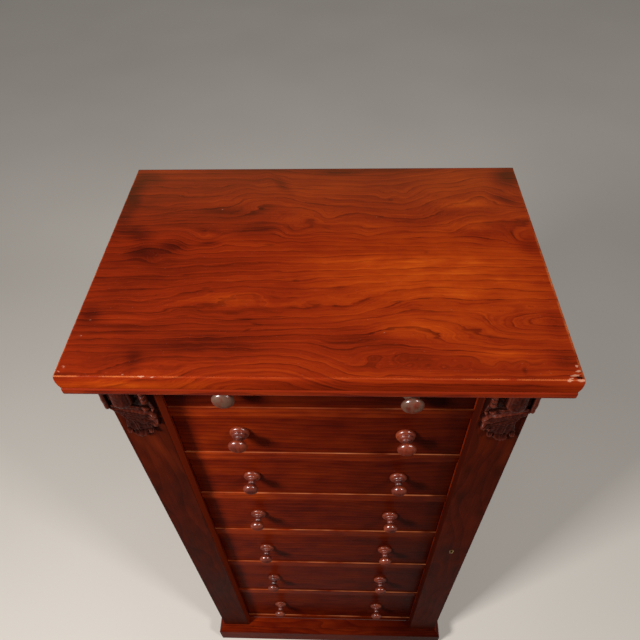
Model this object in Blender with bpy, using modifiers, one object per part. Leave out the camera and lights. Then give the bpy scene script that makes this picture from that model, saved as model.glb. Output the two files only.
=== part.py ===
"""A seven-drawer Wellington chest in mahogany, as an assembly of its separate pieces.

Metres, +Z up. The origin is on the floor under the middle of the chest, and the front faces -Y.
"""

import math

import bmesh
import bpy
from mathutils import Matrix, Vector

# Clearances
SEAT_GAP = 0.0003
CUT_OVERRUN = 0.004

# Overall height
HEIGHT = 1.192

# Top board and the thin board under it
TOP_WIDTH = 0.600
TOP_DEPTH = 0.414
TOP_BOARD_THICKNESS = 0.025
TOP_ARRIS_INSET = 0.0016
TOP_UNDERCUT = 0.0018
TOP_WIDEST_DROP = 0.009
SUB_TOP_THICKNESS = 0.011
SUB_TOP_INSET = 0.0010
SUB_TOP_ROUNDING = 0.002
SIDE_OVERHANG = 0.030
FRONT_OVERHANG = 0.030
BACK_OVERHANG = 0.006

# Carcass
SIDE_THICKNESS = 0.018
POST_THICKNESS = 0.020
BACK_THICKNESS = 0.010
BACK_REBATE = 0.009
BACK_BOARD_COUNT = 4
BACK_GROOVE_DEPTH = 0.002
TOP_RAIL_HEIGHT = 0.013
RAIL_HEIGHT = 0.020
RAIL_DEPTH = 0.050
DUSTBOARD_THICKNESS = 0.012
HOUSING_DEPTH = 0.006
GUIDE_WIDTH = 0.012
GUIDE_HEIGHT = 0.014
STOP_LENGTH = 0.030
STOP_DEPTH = 0.012
STOP_HEIGHT = 0.0045
STOP_SPACING = 0.260

# Plinth
PLINTH_HEIGHT = 0.075
PLINTH_PROJECTION = 0.014
PLINTH_MOULDING_HEIGHT = 0.018
PLINTH_LEDGE = 0.003
PLINTH_MOULDING_STEPS = 6

# Stiles: a fixed one on the left and a hinged, locking one on the right
STILE_WIDTH = 0.063
STILE_THICKNESS = 0.019
STILE_ROUNDING = 0.0015
LOCKING_STILE_END_GAP = 0.0008

# Carved corbel at the head of each stile
CORBEL_HEIGHT = 0.134
CORBEL_MARGIN = 0.0015
CORBEL_SCROLL_HEIGHT = 0.069
CORBEL_SCROLL_PROJECTION = 0.024
CORBEL_REED_COUNT = 4
CORBEL_REED_DEPTH = 0.0035
REED_ROUNDNESS = 0.6
SCROLL_END_SHARE = 0.33
LEAF_PROJECTION = 0.0085
LEAF_MARGIN = 0.0055
LEAF_TIP_WIDTH = 0.014
LEAF_LOBE_DEPTH = 0.0035
LEAF_LOBE_COUNT = 3
LEAF_RIB_DEPTH = 0.0016
LEAF_RIB_COUNT = 3
LEAF_EDGE_THICKNESS = 0.0035
CORBEL_COLUMNS = 20
CORBEL_ROWS = 22

# Drawers
DRAWER_COUNT = 7
DRAWER_OPENING_STEP = 0.0155
DRAWER_SET_BACK = 0.0025
DRAWER_SIDE_GAP = 0.0008
DRAWER_HEAD_GAP = 0.0012
DRAWER_BACK_SPACE = 0.013
DRAWER_FRONT_THICKNESS = 0.020
DRAWER_FRONT_ROUNDING = 0.0006
DRAWER_SIDE_THICKNESS = 0.010
DRAWER_SIDE_DROP = 0.003
DRAWER_BACK_THICKNESS = 0.010
DRAWER_BACK_DROP = 0.008
DRAWER_BACK_INSET = 0.006
DRAWER_BOTTOM_THICKNESS = 0.006
DRAWER_BOTTOM_LIFT = 0.008
DRAWER_GROOVE_DEPTH = 0.006
DOVETAIL_LENGTH = 0.013
DOVETAIL_NECK_WIDTH = 0.018
DOVETAIL_FLARE = 0.0022
DOVETAIL_PIN_WIDTH = 0.012

# Turned knobs, two to a drawer, set by hand and not quite alike
KNOB_SPACING = 0.234
KNOB_RISE = 0.006
KNOB_PROJECTION = 0.033
KNOB_HEAD_DIAMETER = 0.0305
KNOB_BASE_DIAMETER = 0.031
KNOB_SPIGOT_DIAMETER = 0.010
KNOB_SPIGOT_LENGTH = 0.016
KNOB_SEGMENTS = 16

# A knob's turned outline: shares of its radius and of its projection, from the crown down
KNOB_HEAD_SHARES = ((0.55, 0.960), (0.88, 0.880), (1.00, 0.775), (0.80, 0.640))
KNOB_BASE_SHARES = ((0.42, 0.55), (0.38, 0.40), (0.66, 0.27), (0.64, 0.19), (0.94, 0.14), (1.00, 0.05))

# Each row's shares of the sizes above, from the top drawer down. The last entry is for all lower drawers
ROW_HEAD_SHARES = (1.00, 0.90, 0.79)
ROW_BASE_SHARES = (1.00, 0.92, 0.87)
LEFT_PLACE_SHARES = (0.511, 0.495, 0.480, 0.500)
RIGHT_PLACE_SHARES = (0.513, 0.521, 0.516, 0.500)
LEFT_RISE_SHARES = (1.50, 1.38, 0.77, 1.00)
RIGHT_RISE_SHARES = (0.23, 0.95, 1.00)

# Butt hinges of the locking stile
HINGE_LEAF_HEIGHT = 0.050
HINGE_LEAF_WIDTH = 0.013
HINGE_LEAF_THICKNESS = 0.0014
HINGE_KNUCKLE_RADIUS = 0.003
HINGE_KNUCKLE_COUNT = 5
HINGE_PIN_RADIUS = 0.0012
HINGE_PIN_CLEARANCE = 0.00015
HINGE_PIN_HEAD = 0.0012
HINGE_END_DISTANCE = 0.190
HINGE_SEGMENTS = 12

# Lock of the locking stile, with the link plate that it grips
LOCK_CASE_WIDTH = 0.038
LOCK_CASE_HEIGHT = 0.048
LOCK_CASE_WALL = 0.0014
LOCK_SLOT_MARGIN = 0.0012
BOLT_LENGTH = 0.018
BOLT_DEPTH = 0.0045
BOLT_HEIGHT = 0.006
BOLT_LIFT = 0.009
BOLT_TRAVEL = 0.0065
BOLT_TO_LINK = 0.0012
BOLT_END_GAP = 0.0005
LINK_THICKNESS = 0.0025
LINK_RIM = 0.002
LINK_CLEARANCE = 0.0006
LINK_END_GAP = 0.0008
LINK_PLATE_WIDTH = 0.020
LINK_PLATE_HEIGHT = 0.032
LINK_PLATE_THICKNESS = 0.0015
KEYHOLE_RADIUS = 0.0028
KEYHOLE_SLOT_WIDTH = 0.0028
KEYHOLE_SLOT_DROP = 0.009
KEYHOLE_DROP = 0.005
ESCUTCHEON_RIM = 0.0016
ESCUTCHEON_DEPTH = 0.003
ESCUTCHEON_PROUD = 0.0004
KEYHOLE_SEGMENTS = 20

# Places that follow from the sizes
TOP_HALF_WIDTH = TOP_WIDTH / 2
TOP_FRONT_Y = -TOP_DEPTH / 2
TOP_BACK_Y = TOP_DEPTH / 2
OUTER_X = TOP_HALF_WIDTH - SIDE_OVERHANG
INNER_X = OUTER_X - SIDE_THICKNESS
OPENING_X = OUTER_X - STILE_WIDTH
STILE_FRONT_Y = TOP_FRONT_Y + FRONT_OVERHANG
STILE_BACK_Y = STILE_FRONT_Y + STILE_THICKNESS
FRAME_FRONT_Y = STILE_BACK_Y + SEAT_GAP
POST_BACK_Y = FRAME_FRONT_Y + POST_THICKNESS
RAIL_BACK_Y = FRAME_FRONT_Y + RAIL_DEPTH
BACK_Y = TOP_BACK_Y - BACK_OVERHANG
BACK_PANEL_Y = BACK_Y - BACK_THICKNESS
DRAWER_FRONT_Y = FRAME_FRONT_Y + DRAWER_SET_BACK
DRAWER_INNER_Y = DRAWER_FRONT_Y + DRAWER_FRONT_THICKNESS
DRAWER_END_Y = BACK_PANEL_Y - DRAWER_BACK_SPACE
DRAWER_HALF_WIDTH = OPENING_X - DRAWER_SIDE_GAP
SUB_TOP_Z = HEIGHT - TOP_BOARD_THICKNESS - SEAT_GAP - SUB_TOP_THICKNESS
CARCASS_TOP_Z = SUB_TOP_Z - SEAT_GAP
LOWEST_RAIL_TOP_Z = PLINTH_HEIGHT + RAIL_HEIGHT
OPENINGS_HEIGHT = CARCASS_TOP_Z - TOP_RAIL_HEIGHT - (DRAWER_COUNT - 1) * RAIL_HEIGHT - LOWEST_RAIL_TOP_Z
MIDDLE_OPENING = OPENINGS_HEIGHT / DRAWER_COUNT
OPENINGS = [MIDDLE_OPENING + (i - (DRAWER_COUNT - 1) / 2) * DRAWER_OPENING_STEP for i in range(DRAWER_COUNT)]
CORBEL_TOP_Z = CARCASS_TOP_Z - LOCKING_STILE_END_GAP
HINGE_X = OUTER_X + HINGE_KNUCKLE_RADIUS + SEAT_GAP
HINGE_Y = (STILE_BACK_Y + FRAME_FRONT_Y) / 2
LOCK_X = OUTER_X - STILE_WIDTH / 2
LOCK_Z = (PLINTH_HEIGHT + CARCASS_TOP_Z) / 2
LOCK_CASE_DEPTH = 2 * LOCK_CASE_WALL + SEAT_GAP + BOLT_DEPTH + LINK_CLEARANCE + LINK_RIM + LINK_END_GAP
BOLT_TIP_X = LOCK_X - LOCK_CASE_WIDTH / 2 + LOCK_CASE_WALL + BOLT_END_GAP + BOLT_TRAVEL
LINK_X = BOLT_TIP_X - BOLT_TO_LINK - LINK_THICKNESS / 2
BOLT_Z = LOCK_Z + BOLT_LIFT
KEYHOLE_Z = LOCK_Z - KEYHOLE_DROP

MAHOGANY = ("mahogany", (0.27, 0.045, 0.014), 0.30, 0.0)
DARK_MAHOGANY = ("dark mahogany", (0.085, 0.022, 0.012), 0.38, 0.0)
PINE = ("pine", (0.42, 0.25, 0.12), 0.70, 0.0)
DRAWER_LINING = ("drawer lining", (0.33, 0.16, 0.075), 0.62, 0.0)
BRASS = ("aged brass", (0.45, 0.32, 0.13), 0.38, 1.0)


def clear_scene():
    for obj in list(bpy.data.objects):
        bpy.data.objects.remove(obj)


def collection(name):
    made = bpy.data.collections.new(name)
    bpy.context.scene.collection.children.link(made)
    return made


def material(finish):
    name, colour, roughness, metallic = finish
    made = bpy.data.materials.get(name)
    if made is None:
        made = bpy.data.materials.new(name)
        made.use_nodes = True
        shader = made.node_tree.nodes["Principled BSDF"]
        shader.inputs["Base Color"].default_value = (*colour, 1.0)
        shader.inputs["Roughness"].default_value = roughness
        shader.inputs["Metallic"].default_value = metallic
    return made


def object_of(name, bm, home):
    """A named object that takes over a bmesh, with its faces turned outwards."""
    bmesh.ops.recalc_face_normals(bm, faces=bm.faces)
    mesh = bpy.data.meshes.new(name)
    bm.to_mesh(mesh)
    bm.free()
    obj = bpy.data.objects.new(name, mesh)
    home.objects.link(obj)
    return obj


def as_cutter(obj):
    obj.display_type = "WIRE"
    obj.hide_render = True
    return obj


def box(name, low, high, home):
    """A block between two corners, with its origin at its centre."""
    low, high = Vector(low), Vector(high)
    bm = bmesh.new()
    bmesh.ops.create_cube(bm, size=1.0)
    bmesh.ops.scale(bm, vec=high - low, verts=bm.verts)
    obj = object_of(name, bm, home)
    obj.location = (low + high) / 2
    return obj


def cutter_box(name, low, high):
    return as_cutter(box(name, low, high, CUTTERS))


def cylinder_z(name, radius, low, high, segments, home):
    """An upright cylinder on the axis through two points, one above the other."""
    low, high = Vector(low), Vector(high)
    bm = bmesh.new()
    bmesh.ops.create_cone(
        bm, cap_ends=True, segments=segments, radius1=radius, radius2=radius, depth=(high - low).length
    )
    obj = object_of(name, bm, home)
    obj.location = (low + high) / 2
    return obj


def plate(name, outline, low, high, plane, home):
    """A flat outline given thickness from low to high along the axis that its plane leaves out.

    The outline is in (x, y), (x, z) or (y, z), as the plane says.
    """
    curve = bpy.data.curves.new(name, "CURVE")
    curve.dimensions = "2D"
    curve.fill_mode = "BOTH"
    curve.extrude = (high - low) / 2
    spline = curve.splines.new("POLY")
    spline.points.add(len(outline) - 1)
    for point, (across, up) in zip(spline.points, outline):
        point.co = (across, up, 0, 1)
    spline.use_cyclic_u = True
    drawn = bpy.data.objects.new(name + "_outline", curve)
    home.objects.link(drawn)
    bpy.context.view_layer.update()
    graph = bpy.context.evaluated_depsgraph_get()
    mesh = bpy.data.meshes.new_from_object(drawn.evaluated_get(graph))
    bpy.data.objects.remove(drawn)
    middle = (low + high) / 2
    turn = {
        "xy": Matrix(((1, 0, 0, 0), (0, 1, 0, 0), (0, 0, 1, middle), (0, 0, 0, 1))),
        "xz": Matrix(((1, 0, 0, 0), (0, 0, -1, middle), (0, 1, 0, 0), (0, 0, 0, 1))),
        "yz": Matrix(((0, 0, 1, middle), (1, 0, 0, 0), (0, 1, 0, 0), (0, 0, 0, 1))),
    }[plane]
    bm = bmesh.new()
    bm.from_mesh(mesh)
    bpy.data.meshes.remove(mesh)
    bmesh.ops.transform(bm, matrix=turn, verts=bm.verts)
    bmesh.ops.remove_doubles(bm, verts=bm.verts, dist=SEAT_GAP / 10)
    bmesh.ops.dissolve_limit(bm, angle_limit=math.radians(1), verts=bm.verts, edges=bm.edges)
    return object_of(name, bm, home)


def turned(name, profile, segments, home):
    """A turned shape: (radius, height) pairs from top to bottom, swept round Z by a Screw modifier."""
    mesh = bpy.data.meshes.new(name)
    verts = [(radius, 0, height) for radius, height in profile]
    mesh.from_pydata(verts, [(i, i + 1) for i in range(len(verts) - 1)], [])
    obj = bpy.data.objects.new(name, mesh)
    home.objects.link(obj)
    screw = obj.modifiers.new("Turn", "SCREW")
    screw.steps = screw.render_steps = segments
    screw.use_merge_vertices = True
    screw.merge_threshold = SEAT_GAP / 10
    screw.use_smooth_shade = True
    return obj


def boolean(obj, other, operation):
    modifier = obj.modifiers.new(other.name, "BOOLEAN")
    modifier.operation = operation
    modifier.object = other
    return obj


def cut(obj, *others):
    for other in others:
        boolean(obj, other, "DIFFERENCE")
    return obj


def join(obj, *others):
    for other in others:
        boolean(obj, as_cutter(other), "UNION")
    return obj


def round_edges(obj, width, segments=2):
    bevel = obj.modifiers.new("Rounding", "BEVEL")
    bevel.width = width
    bevel.segments = segments
    bevel.limit_method = "ANGLE"
    return obj


def finish(obj, look, parent=None):
    obj.data.materials.clear()
    obj.data.materials.append(material(look))
    if parent is not None:
        obj.parent = parent
        obj.matrix_parent_inverse = parent.matrix_world.inverted()
    return obj


def pivot(name, place):
    """An empty on a joint's axis, which carries the pieces that move on that joint."""
    empty = bpy.data.objects.new(name, None)
    PARTS.objects.link(empty)
    empty.location = place
    bpy.context.view_layer.update()
    return empty


def moulded_slab(name, rings, home):
    """A board lofted through (half width, front y, back y, z) rings, from the bottom one up."""
    bm = bmesh.new()
    bmesh.ops.create_grid(bm, x_segments=1, y_segments=1, size=1.0)
    face = bm.faces[:][0]
    middle = 0
    for i, (half_width, front_y, back_y, z) in enumerate(rings):
        if i:
            grown = bmesh.ops.extrude_face_region(bm, geom=[face])["geom"]
            if i > 1:
                bmesh.ops.delete(bm, geom=[face], context="FACES_ONLY")
            face = next(part for part in grown if isinstance(part, bmesh.types.BMFace))
        for vert in face.verts:
            vert.co.x = math.copysign(half_width, vert.co.x)
            vert.co.y = back_y if vert.co.y > middle else front_y
            vert.co.z = z
        middle = (front_y + back_y) / 2
    return object_of(name, bm, home)


def make_top():
    """The top board, whose front and ends swell out under a crisp arris, and the thin board under it."""
    rings = []
    for drop, inset in (
        (TOP_BOARD_THICKNESS, TOP_UNDERCUT),
        ((TOP_BOARD_THICKNESS * 3 + TOP_WIDEST_DROP) / 4, TOP_UNDERCUT / 2),
        ((TOP_BOARD_THICKNESS + TOP_WIDEST_DROP) / 2, TOP_UNDERCUT / 5),
        (TOP_WIDEST_DROP, 0),
        (TOP_WIDEST_DROP / 2, TOP_ARRIS_INSET / 4),
        (0, TOP_ARRIS_INSET),
    ):
        rings.append((TOP_HALF_WIDTH - inset, TOP_FRONT_Y + inset, TOP_BACK_Y, HEIGHT - drop))
    finish(moulded_slab("top_board", rings, PARTS), MAHOGANY)

    half_width = TOP_HALF_WIDTH - SUB_TOP_INSET
    front_y = TOP_FRONT_Y + SUB_TOP_INSET
    rings = []
    face_height = SUB_TOP_THICKNESS - 2 * SUB_TOP_ROUNDING
    for turn, lift in ((0, 0), (45, 0), (90, 0), (90, face_height), (135, face_height), (180, face_height)):
        inset = SUB_TOP_ROUNDING * (1 - math.sin(math.radians(turn)))
        rise = SUB_TOP_ROUNDING * (1 - math.cos(math.radians(turn))) + lift
        rings.append((half_width - inset, front_y + inset, BACK_Y, SUB_TOP_Z + rise))
    finish(moulded_slab("sub_top", rings, PARTS), MAHOGANY)


def rail_tops():
    """The height of each drawer's floor, from the top drawer down."""
    level = CARCASS_TOP_Z - TOP_RAIL_HEIGHT
    tops = []
    for opening in OPENINGS:
        level -= opening
        tops.append(level)
        level -= RAIL_HEIGHT
    return tops


def make_sides(tops):
    """Side panels, housed for the dustboards and the bottom board and rebated for the back."""
    for label, sign in (("left", -1), ("right", 1)):
        xs = sorted((sign * INNER_X, sign * OUTER_X))
        side = box("side_" + label, (xs[0], FRAME_FRONT_Y, 0), (xs[1], BACK_Y, CARCASS_TOP_Z), PARTS)
        reach = sorted((sign * (INNER_X - CUT_OVERRUN), sign * (INNER_X + HOUSING_DEPTH)))
        for i, top in enumerate(tops):
            last = i == DRAWER_COUNT - 1
            thickness = RAIL_HEIGHT if last else DUSTBOARD_THICKNESS
            housing = cutter_box(
                f"housing_{label}_{i + 1}",
                (reach[0], POST_BACK_Y, top - thickness - SEAT_GAP),
                (reach[1], BACK_PANEL_Y + CUT_OVERRUN, top + SEAT_GAP),
            )
            cut(side, housing)
        rebate_xs = sorted((sign * (INNER_X - CUT_OVERRUN), sign * (INNER_X + BACK_REBATE)))
        rebate = cutter_box(
            "rebate_" + label,
            (rebate_xs[0], BACK_PANEL_Y, -CUT_OVERRUN),
            (rebate_xs[1], BACK_Y + CUT_OVERRUN, CARCASS_TOP_Z + CUT_OVERRUN),
        )
        cut(side, rebate)
        finish(side, MAHOGANY)
        SIDES[label] = side


def make_posts():
    """Uprights behind the stiles, between which the drawers pass."""
    for label, sign in (("left", -1), ("right", 1)):
        xs = sorted((sign * OPENING_X, sign * (INNER_X - SEAT_GAP)))
        low = (xs[0], FRAME_FRONT_Y, 0)
        high = (xs[1], POST_BACK_Y - SEAT_GAP, CARCASS_TOP_Z)
        POSTS[label] = finish(box("post_" + label, low, high, PARTS), MAHOGANY)


def make_back():
    """The back, of upright pine boards in the rebates of the sides."""
    half_width = INNER_X + BACK_REBATE - SEAT_GAP
    low = (-half_width, BACK_PANEL_Y + SEAT_GAP, 0)
    back = box("back_panel", low, (half_width, BACK_Y, CARCASS_TOP_Z), PARTS)
    board_width = 2 * half_width / BACK_BOARD_COUNT
    for i in range(1, BACK_BOARD_COUNT):
        x = i * board_width - half_width
        outline = [
            (x - BACK_GROOVE_DEPTH, BACK_Y),
            (x, BACK_Y - BACK_GROOVE_DEPTH),
            (x + BACK_GROOVE_DEPTH, BACK_Y),
            (x + BACK_GROOVE_DEPTH, BACK_Y + CUT_OVERRUN),
            (x - BACK_GROOVE_DEPTH, BACK_Y + CUT_OVERRUN),
        ]
        head = CARCASS_TOP_Z + CUT_OVERRUN
        cut(back, as_cutter(plate(f"back_groove_{i}", outline, -CUT_OVERRUN, head, "xy", CUTTERS)))
    finish(back, PINE)


def make_dustboards(tops):
    """Under each drawer: its front rail, dustboard, side guides and stops, glued up as one piece.

    The lowest is the bottom board of the carcass.
    """
    for i, top in enumerate(tops):
        last = i == DRAWER_COUNT - 1
        name = "bottom_board" if last else f"dustboard_{i + 1}"
        thickness = RAIL_HEIGHT if last else DUSTBOARD_THICKNESS
        rail = box(
            name,
            (SEAT_GAP - OPENING_X, FRAME_FRONT_Y, top - RAIL_HEIGHT),
            (OPENING_X - SEAT_GAP, RAIL_BACK_Y, top),
            PARTS,
        )
        half_width = INNER_X + HOUSING_DEPTH - SEAT_GAP
        board = box(
            name + "_board",
            (-half_width, POST_BACK_Y, top - thickness),
            (half_width, BACK_PANEL_Y, top),
            CUTTERS,
        )
        join(rail, board)
        for label, sign in (("left", -1), ("right", 1)):
            xs = sorted((sign * OPENING_X, sign * (OPENING_X + GUIDE_WIDTH)))
            guide = box(
                f"{name}_guide_{label}",
                (xs[0], POST_BACK_Y, top - thickness / 2),
                (xs[1], BACK_PANEL_Y, top + GUIDE_HEIGHT),
                CUTTERS,
            )
            middle = sign * STOP_SPACING / 2
            stop = box(
                f"{name}_stop_{label}",
                (middle - STOP_LENGTH / 2, DRAWER_INNER_Y + SEAT_GAP, top - thickness / 2),
                (middle + STOP_LENGTH / 2, DRAWER_INNER_Y + SEAT_GAP + STOP_DEPTH, top + STOP_HEIGHT),
                CUTTERS,
            )
            join(rail, guide, stop)
        finish(rail, MAHOGANY)
    top_rail = box(
        "top_rail",
        (SEAT_GAP - OPENING_X, FRAME_FRONT_Y, CARCASS_TOP_Z - TOP_RAIL_HEIGHT),
        (OPENING_X - SEAT_GAP, RAIL_BACK_Y, CARCASS_TOP_Z),
        PARTS,
    )
    finish(top_rail, MAHOGANY)


def plinth_profile(start):
    """(distance out from the stile's face, height) round the plinth's section, with an ogee at its head."""
    base = PLINTH_HEIGHT - PLINTH_MOULDING_HEIGHT
    points = [(start, 0), (PLINTH_PROJECTION, 0), (PLINTH_PROJECTION, base)]
    for i in range(1, PLINTH_MOULDING_STEPS + 1):
        share = i / PLINTH_MOULDING_STEPS
        sweep = (1 - math.cos(math.pi * share)) / 2
        out = PLINTH_PROJECTION - (PLINTH_PROJECTION - PLINTH_LEDGE) * sweep
        points.append((out, base + PLINTH_MOULDING_HEIGHT * share))
    points.append((start, PLINTH_HEIGHT))
    return points


def make_plinth():
    """Front and side pieces, whose projecting part is mitred at the front corners."""
    reach = OUTER_X + PLINTH_PROJECTION + CUT_OVERRUN
    outline = [(STILE_FRONT_Y - out, up) for out, up in plinth_profile(-STILE_THICKNESS)]
    front = plate("plinth_front", outline, -reach, reach, "yz", PARTS)
    for label, sign in (("left", -1), ("right", 1)):
        corner = [
            (sign * OUTER_X, STILE_BACK_Y + CUT_OVERRUN),
            (sign * OUTER_X, STILE_FRONT_Y),
            (sign * (reach + CUT_OVERRUN), STILE_FRONT_Y - (reach + CUT_OVERRUN - OUTER_X)),
            (sign * (reach + CUT_OVERRUN), STILE_BACK_Y + CUT_OVERRUN),
        ]
        mitre = plate("mitre_" + label, corner, -CUT_OVERRUN, PLINTH_HEIGHT + CUT_OVERRUN, "xy", CUTTERS)
        cut(front, as_cutter(mitre))

        outline = [(sign * (OUTER_X + out), up) for out, up in plinth_profile(SEAT_GAP)]
        side = plate("plinth_" + label, outline, STILE_FRONT_Y, BACK_Y, "xz", PARTS)
        for vert in side.data.vertices:
            if vert.co.y < 0:
                vert.co.y = STILE_FRONT_Y + SEAT_GAP - (abs(vert.co.x) - OUTER_X)
        finish(side, MAHOGANY)
    finish(front, MAHOGANY)


def corbel_section(u, v):
    """(half width, projection) of the carved corbel.

    u runs from -1 to 1 across it and v from 0 at its head to 1 at the tip of the leaf.
    """
    drop = v * CORBEL_HEIGHT
    if drop <= CORBEL_SCROLL_HEIGHT:
        share = drop / CORBEL_SCROLL_HEIGHT
        swell = 1 - SCROLL_END_SHARE * (2 * share - 1) ** 4
        reed = abs(math.sin(math.pi * CORBEL_REED_COUNT * (u + 1) / 2)) ** REED_ROUNDNESS
        depth = CORBEL_SCROLL_PROJECTION * swell - CORBEL_REED_DEPTH * (1 - reed)
        return STILE_WIDTH / 2 - CORBEL_MARGIN, depth
    share = (drop - CORBEL_SCROLL_HEIGHT) / (CORBEL_HEIGHT - CORBEL_SCROLL_HEIGHT)
    lobe = abs(math.sin(math.pi * LEAF_LOBE_COUNT * share))
    taper = math.sqrt(max(0, 1 - share**4))
    half_tip = LEAF_TIP_WIDTH / 2
    half_width = half_tip + (STILE_WIDTH / 2 - LEAF_MARGIN - half_tip) * taper
    half_width -= LEAF_LOBE_DEPTH * (1 - lobe) * taper
    fade = (1 - u * u) * (1 - share**3)
    rib = LEAF_RIB_DEPTH * math.cos(math.pi * LEAF_RIB_COUNT * u)
    crown = LEAF_PROJECTION - LEAF_EDGE_THICKNESS
    return half_width, LEAF_EDGE_THICKNESS + fade * (crown + rib)


def make_corbel(name, middle_x, parent):
    """A scroll with upright reeds over a hanging leaf with a lobed edge, flat on its back."""
    bm = bmesh.new()
    bmesh.ops.create_grid(bm, x_segments=CORBEL_COLUMNS, y_segments=CORBEL_ROWS, size=1.0)
    for vert in bm.verts:
        u, v = vert.co.x, (1 - vert.co.y) / 2
        half_width, depth = corbel_section(u, v)
        vert.co.x = middle_x + u * half_width
        vert.co.y = STILE_FRONT_Y - SEAT_GAP - depth
        vert.co.z = CORBEL_TOP_Z - v * CORBEL_HEIGHT
    grown = bmesh.ops.extrude_face_region(bm, geom=bm.faces[:])["geom"]
    for part in grown:
        if isinstance(part, bmesh.types.BMVert):
            part.co.y = STILE_FRONT_Y - SEAT_GAP
    bmesh.ops.dissolve_limit(bm, angle_limit=math.radians(1), verts=bm.verts, edges=bm.edges)
    finish(object_of(name, bm, PARTS), DARK_MAHOGANY, parent)


def make_fixed_stile():
    low = (-OUTER_X, STILE_FRONT_Y, PLINTH_HEIGHT + SEAT_GAP)
    high = (-OPENING_X, STILE_BACK_Y, CARCASS_TOP_Z)
    stile = round_edges(box("fixed_stile", low, high, PARTS), STILE_ROUNDING)
    finish(stile, MAHOGANY)
    make_corbel("corbel_left", -(OUTER_X + OPENING_X) / 2, None)


def keyhole_outline(grow, middle_x, middle_z):
    """A round-headed keyhole in (x, z), grown outwards by the given distance."""
    radius = KEYHOLE_RADIUS + grow
    half_slot = KEYHOLE_SLOT_WIDTH / 2 + grow
    start = math.asin(half_slot / radius)
    points = []
    for i in range(KEYHOLE_SEGMENTS + 1):
        angle = start + (2 * math.pi - 2 * start) * i / KEYHOLE_SEGMENTS
        points.append((middle_x - radius * math.sin(angle), middle_z - radius * math.cos(angle)))
    foot = middle_z - KEYHOLE_SLOT_DROP - grow
    return [*points, (middle_x + half_slot, foot), (middle_x - half_slot, foot)]


def make_locking_stile(hinge):
    """The hinged stile, recessed at its back for its hinge leaves and its lock, with a keyhole."""
    low = (OPENING_X, STILE_FRONT_Y, PLINTH_HEIGHT + LOCKING_STILE_END_GAP)
    high = (OUTER_X, STILE_BACK_Y, CORBEL_TOP_Z)
    stile = round_edges(box("locking_stile", low, high, PARTS), STILE_ROUNDING)
    for label, z in HINGE_PLACES.items():
        recess = cutter_box(
            f"stile_hinge_recess_{label}",
            (OUTER_X - HINGE_LEAF_WIDTH - SEAT_GAP, STILE_BACK_Y - HINGE_LEAF_THICKNESS - SEAT_GAP,
             z - HINGE_LEAF_HEIGHT / 2 - SEAT_GAP),
            (OUTER_X + CUT_OVERRUN, STILE_BACK_Y + CUT_OVERRUN, z + HINGE_LEAF_HEIGHT / 2 + SEAT_GAP),
        )
        cut(stile, recess)
    pocket = cutter_box(
        "lock_pocket",
        (LOCK_X - LOCK_CASE_WIDTH / 2 - SEAT_GAP, STILE_BACK_Y - LOCK_CASE_DEPTH - SEAT_GAP,
         LOCK_Z - LOCK_CASE_HEIGHT / 2 - SEAT_GAP),
        (LOCK_X + LOCK_CASE_WIDTH / 2 + SEAT_GAP, STILE_BACK_Y + CUT_OVERRUN,
         LOCK_Z + LOCK_CASE_HEIGHT / 2 + SEAT_GAP),
    )
    keyhole = plate(
        "stile_keyhole", keyhole_outline(0, LOCK_X, KEYHOLE_Z),
        STILE_FRONT_Y - CUT_OVERRUN, STILE_BACK_Y, "xz", CUTTERS,
    )
    seat = plate(
        "escutcheon_seat",
        keyhole_outline(ESCUTCHEON_RIM + SEAT_GAP, LOCK_X, KEYHOLE_Z),
        STILE_FRONT_Y - CUT_OVERRUN,
        STILE_FRONT_Y - ESCUTCHEON_PROUD + ESCUTCHEON_DEPTH + SEAT_GAP,
        "xz",
        CUTTERS,
    )
    cut(stile, pocket, as_cutter(keyhole), as_cutter(seat))
    finish(stile, MAHOGANY, hinge)
    make_corbel("corbel_right", (OUTER_X + OPENING_X) / 2, hinge)


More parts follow.
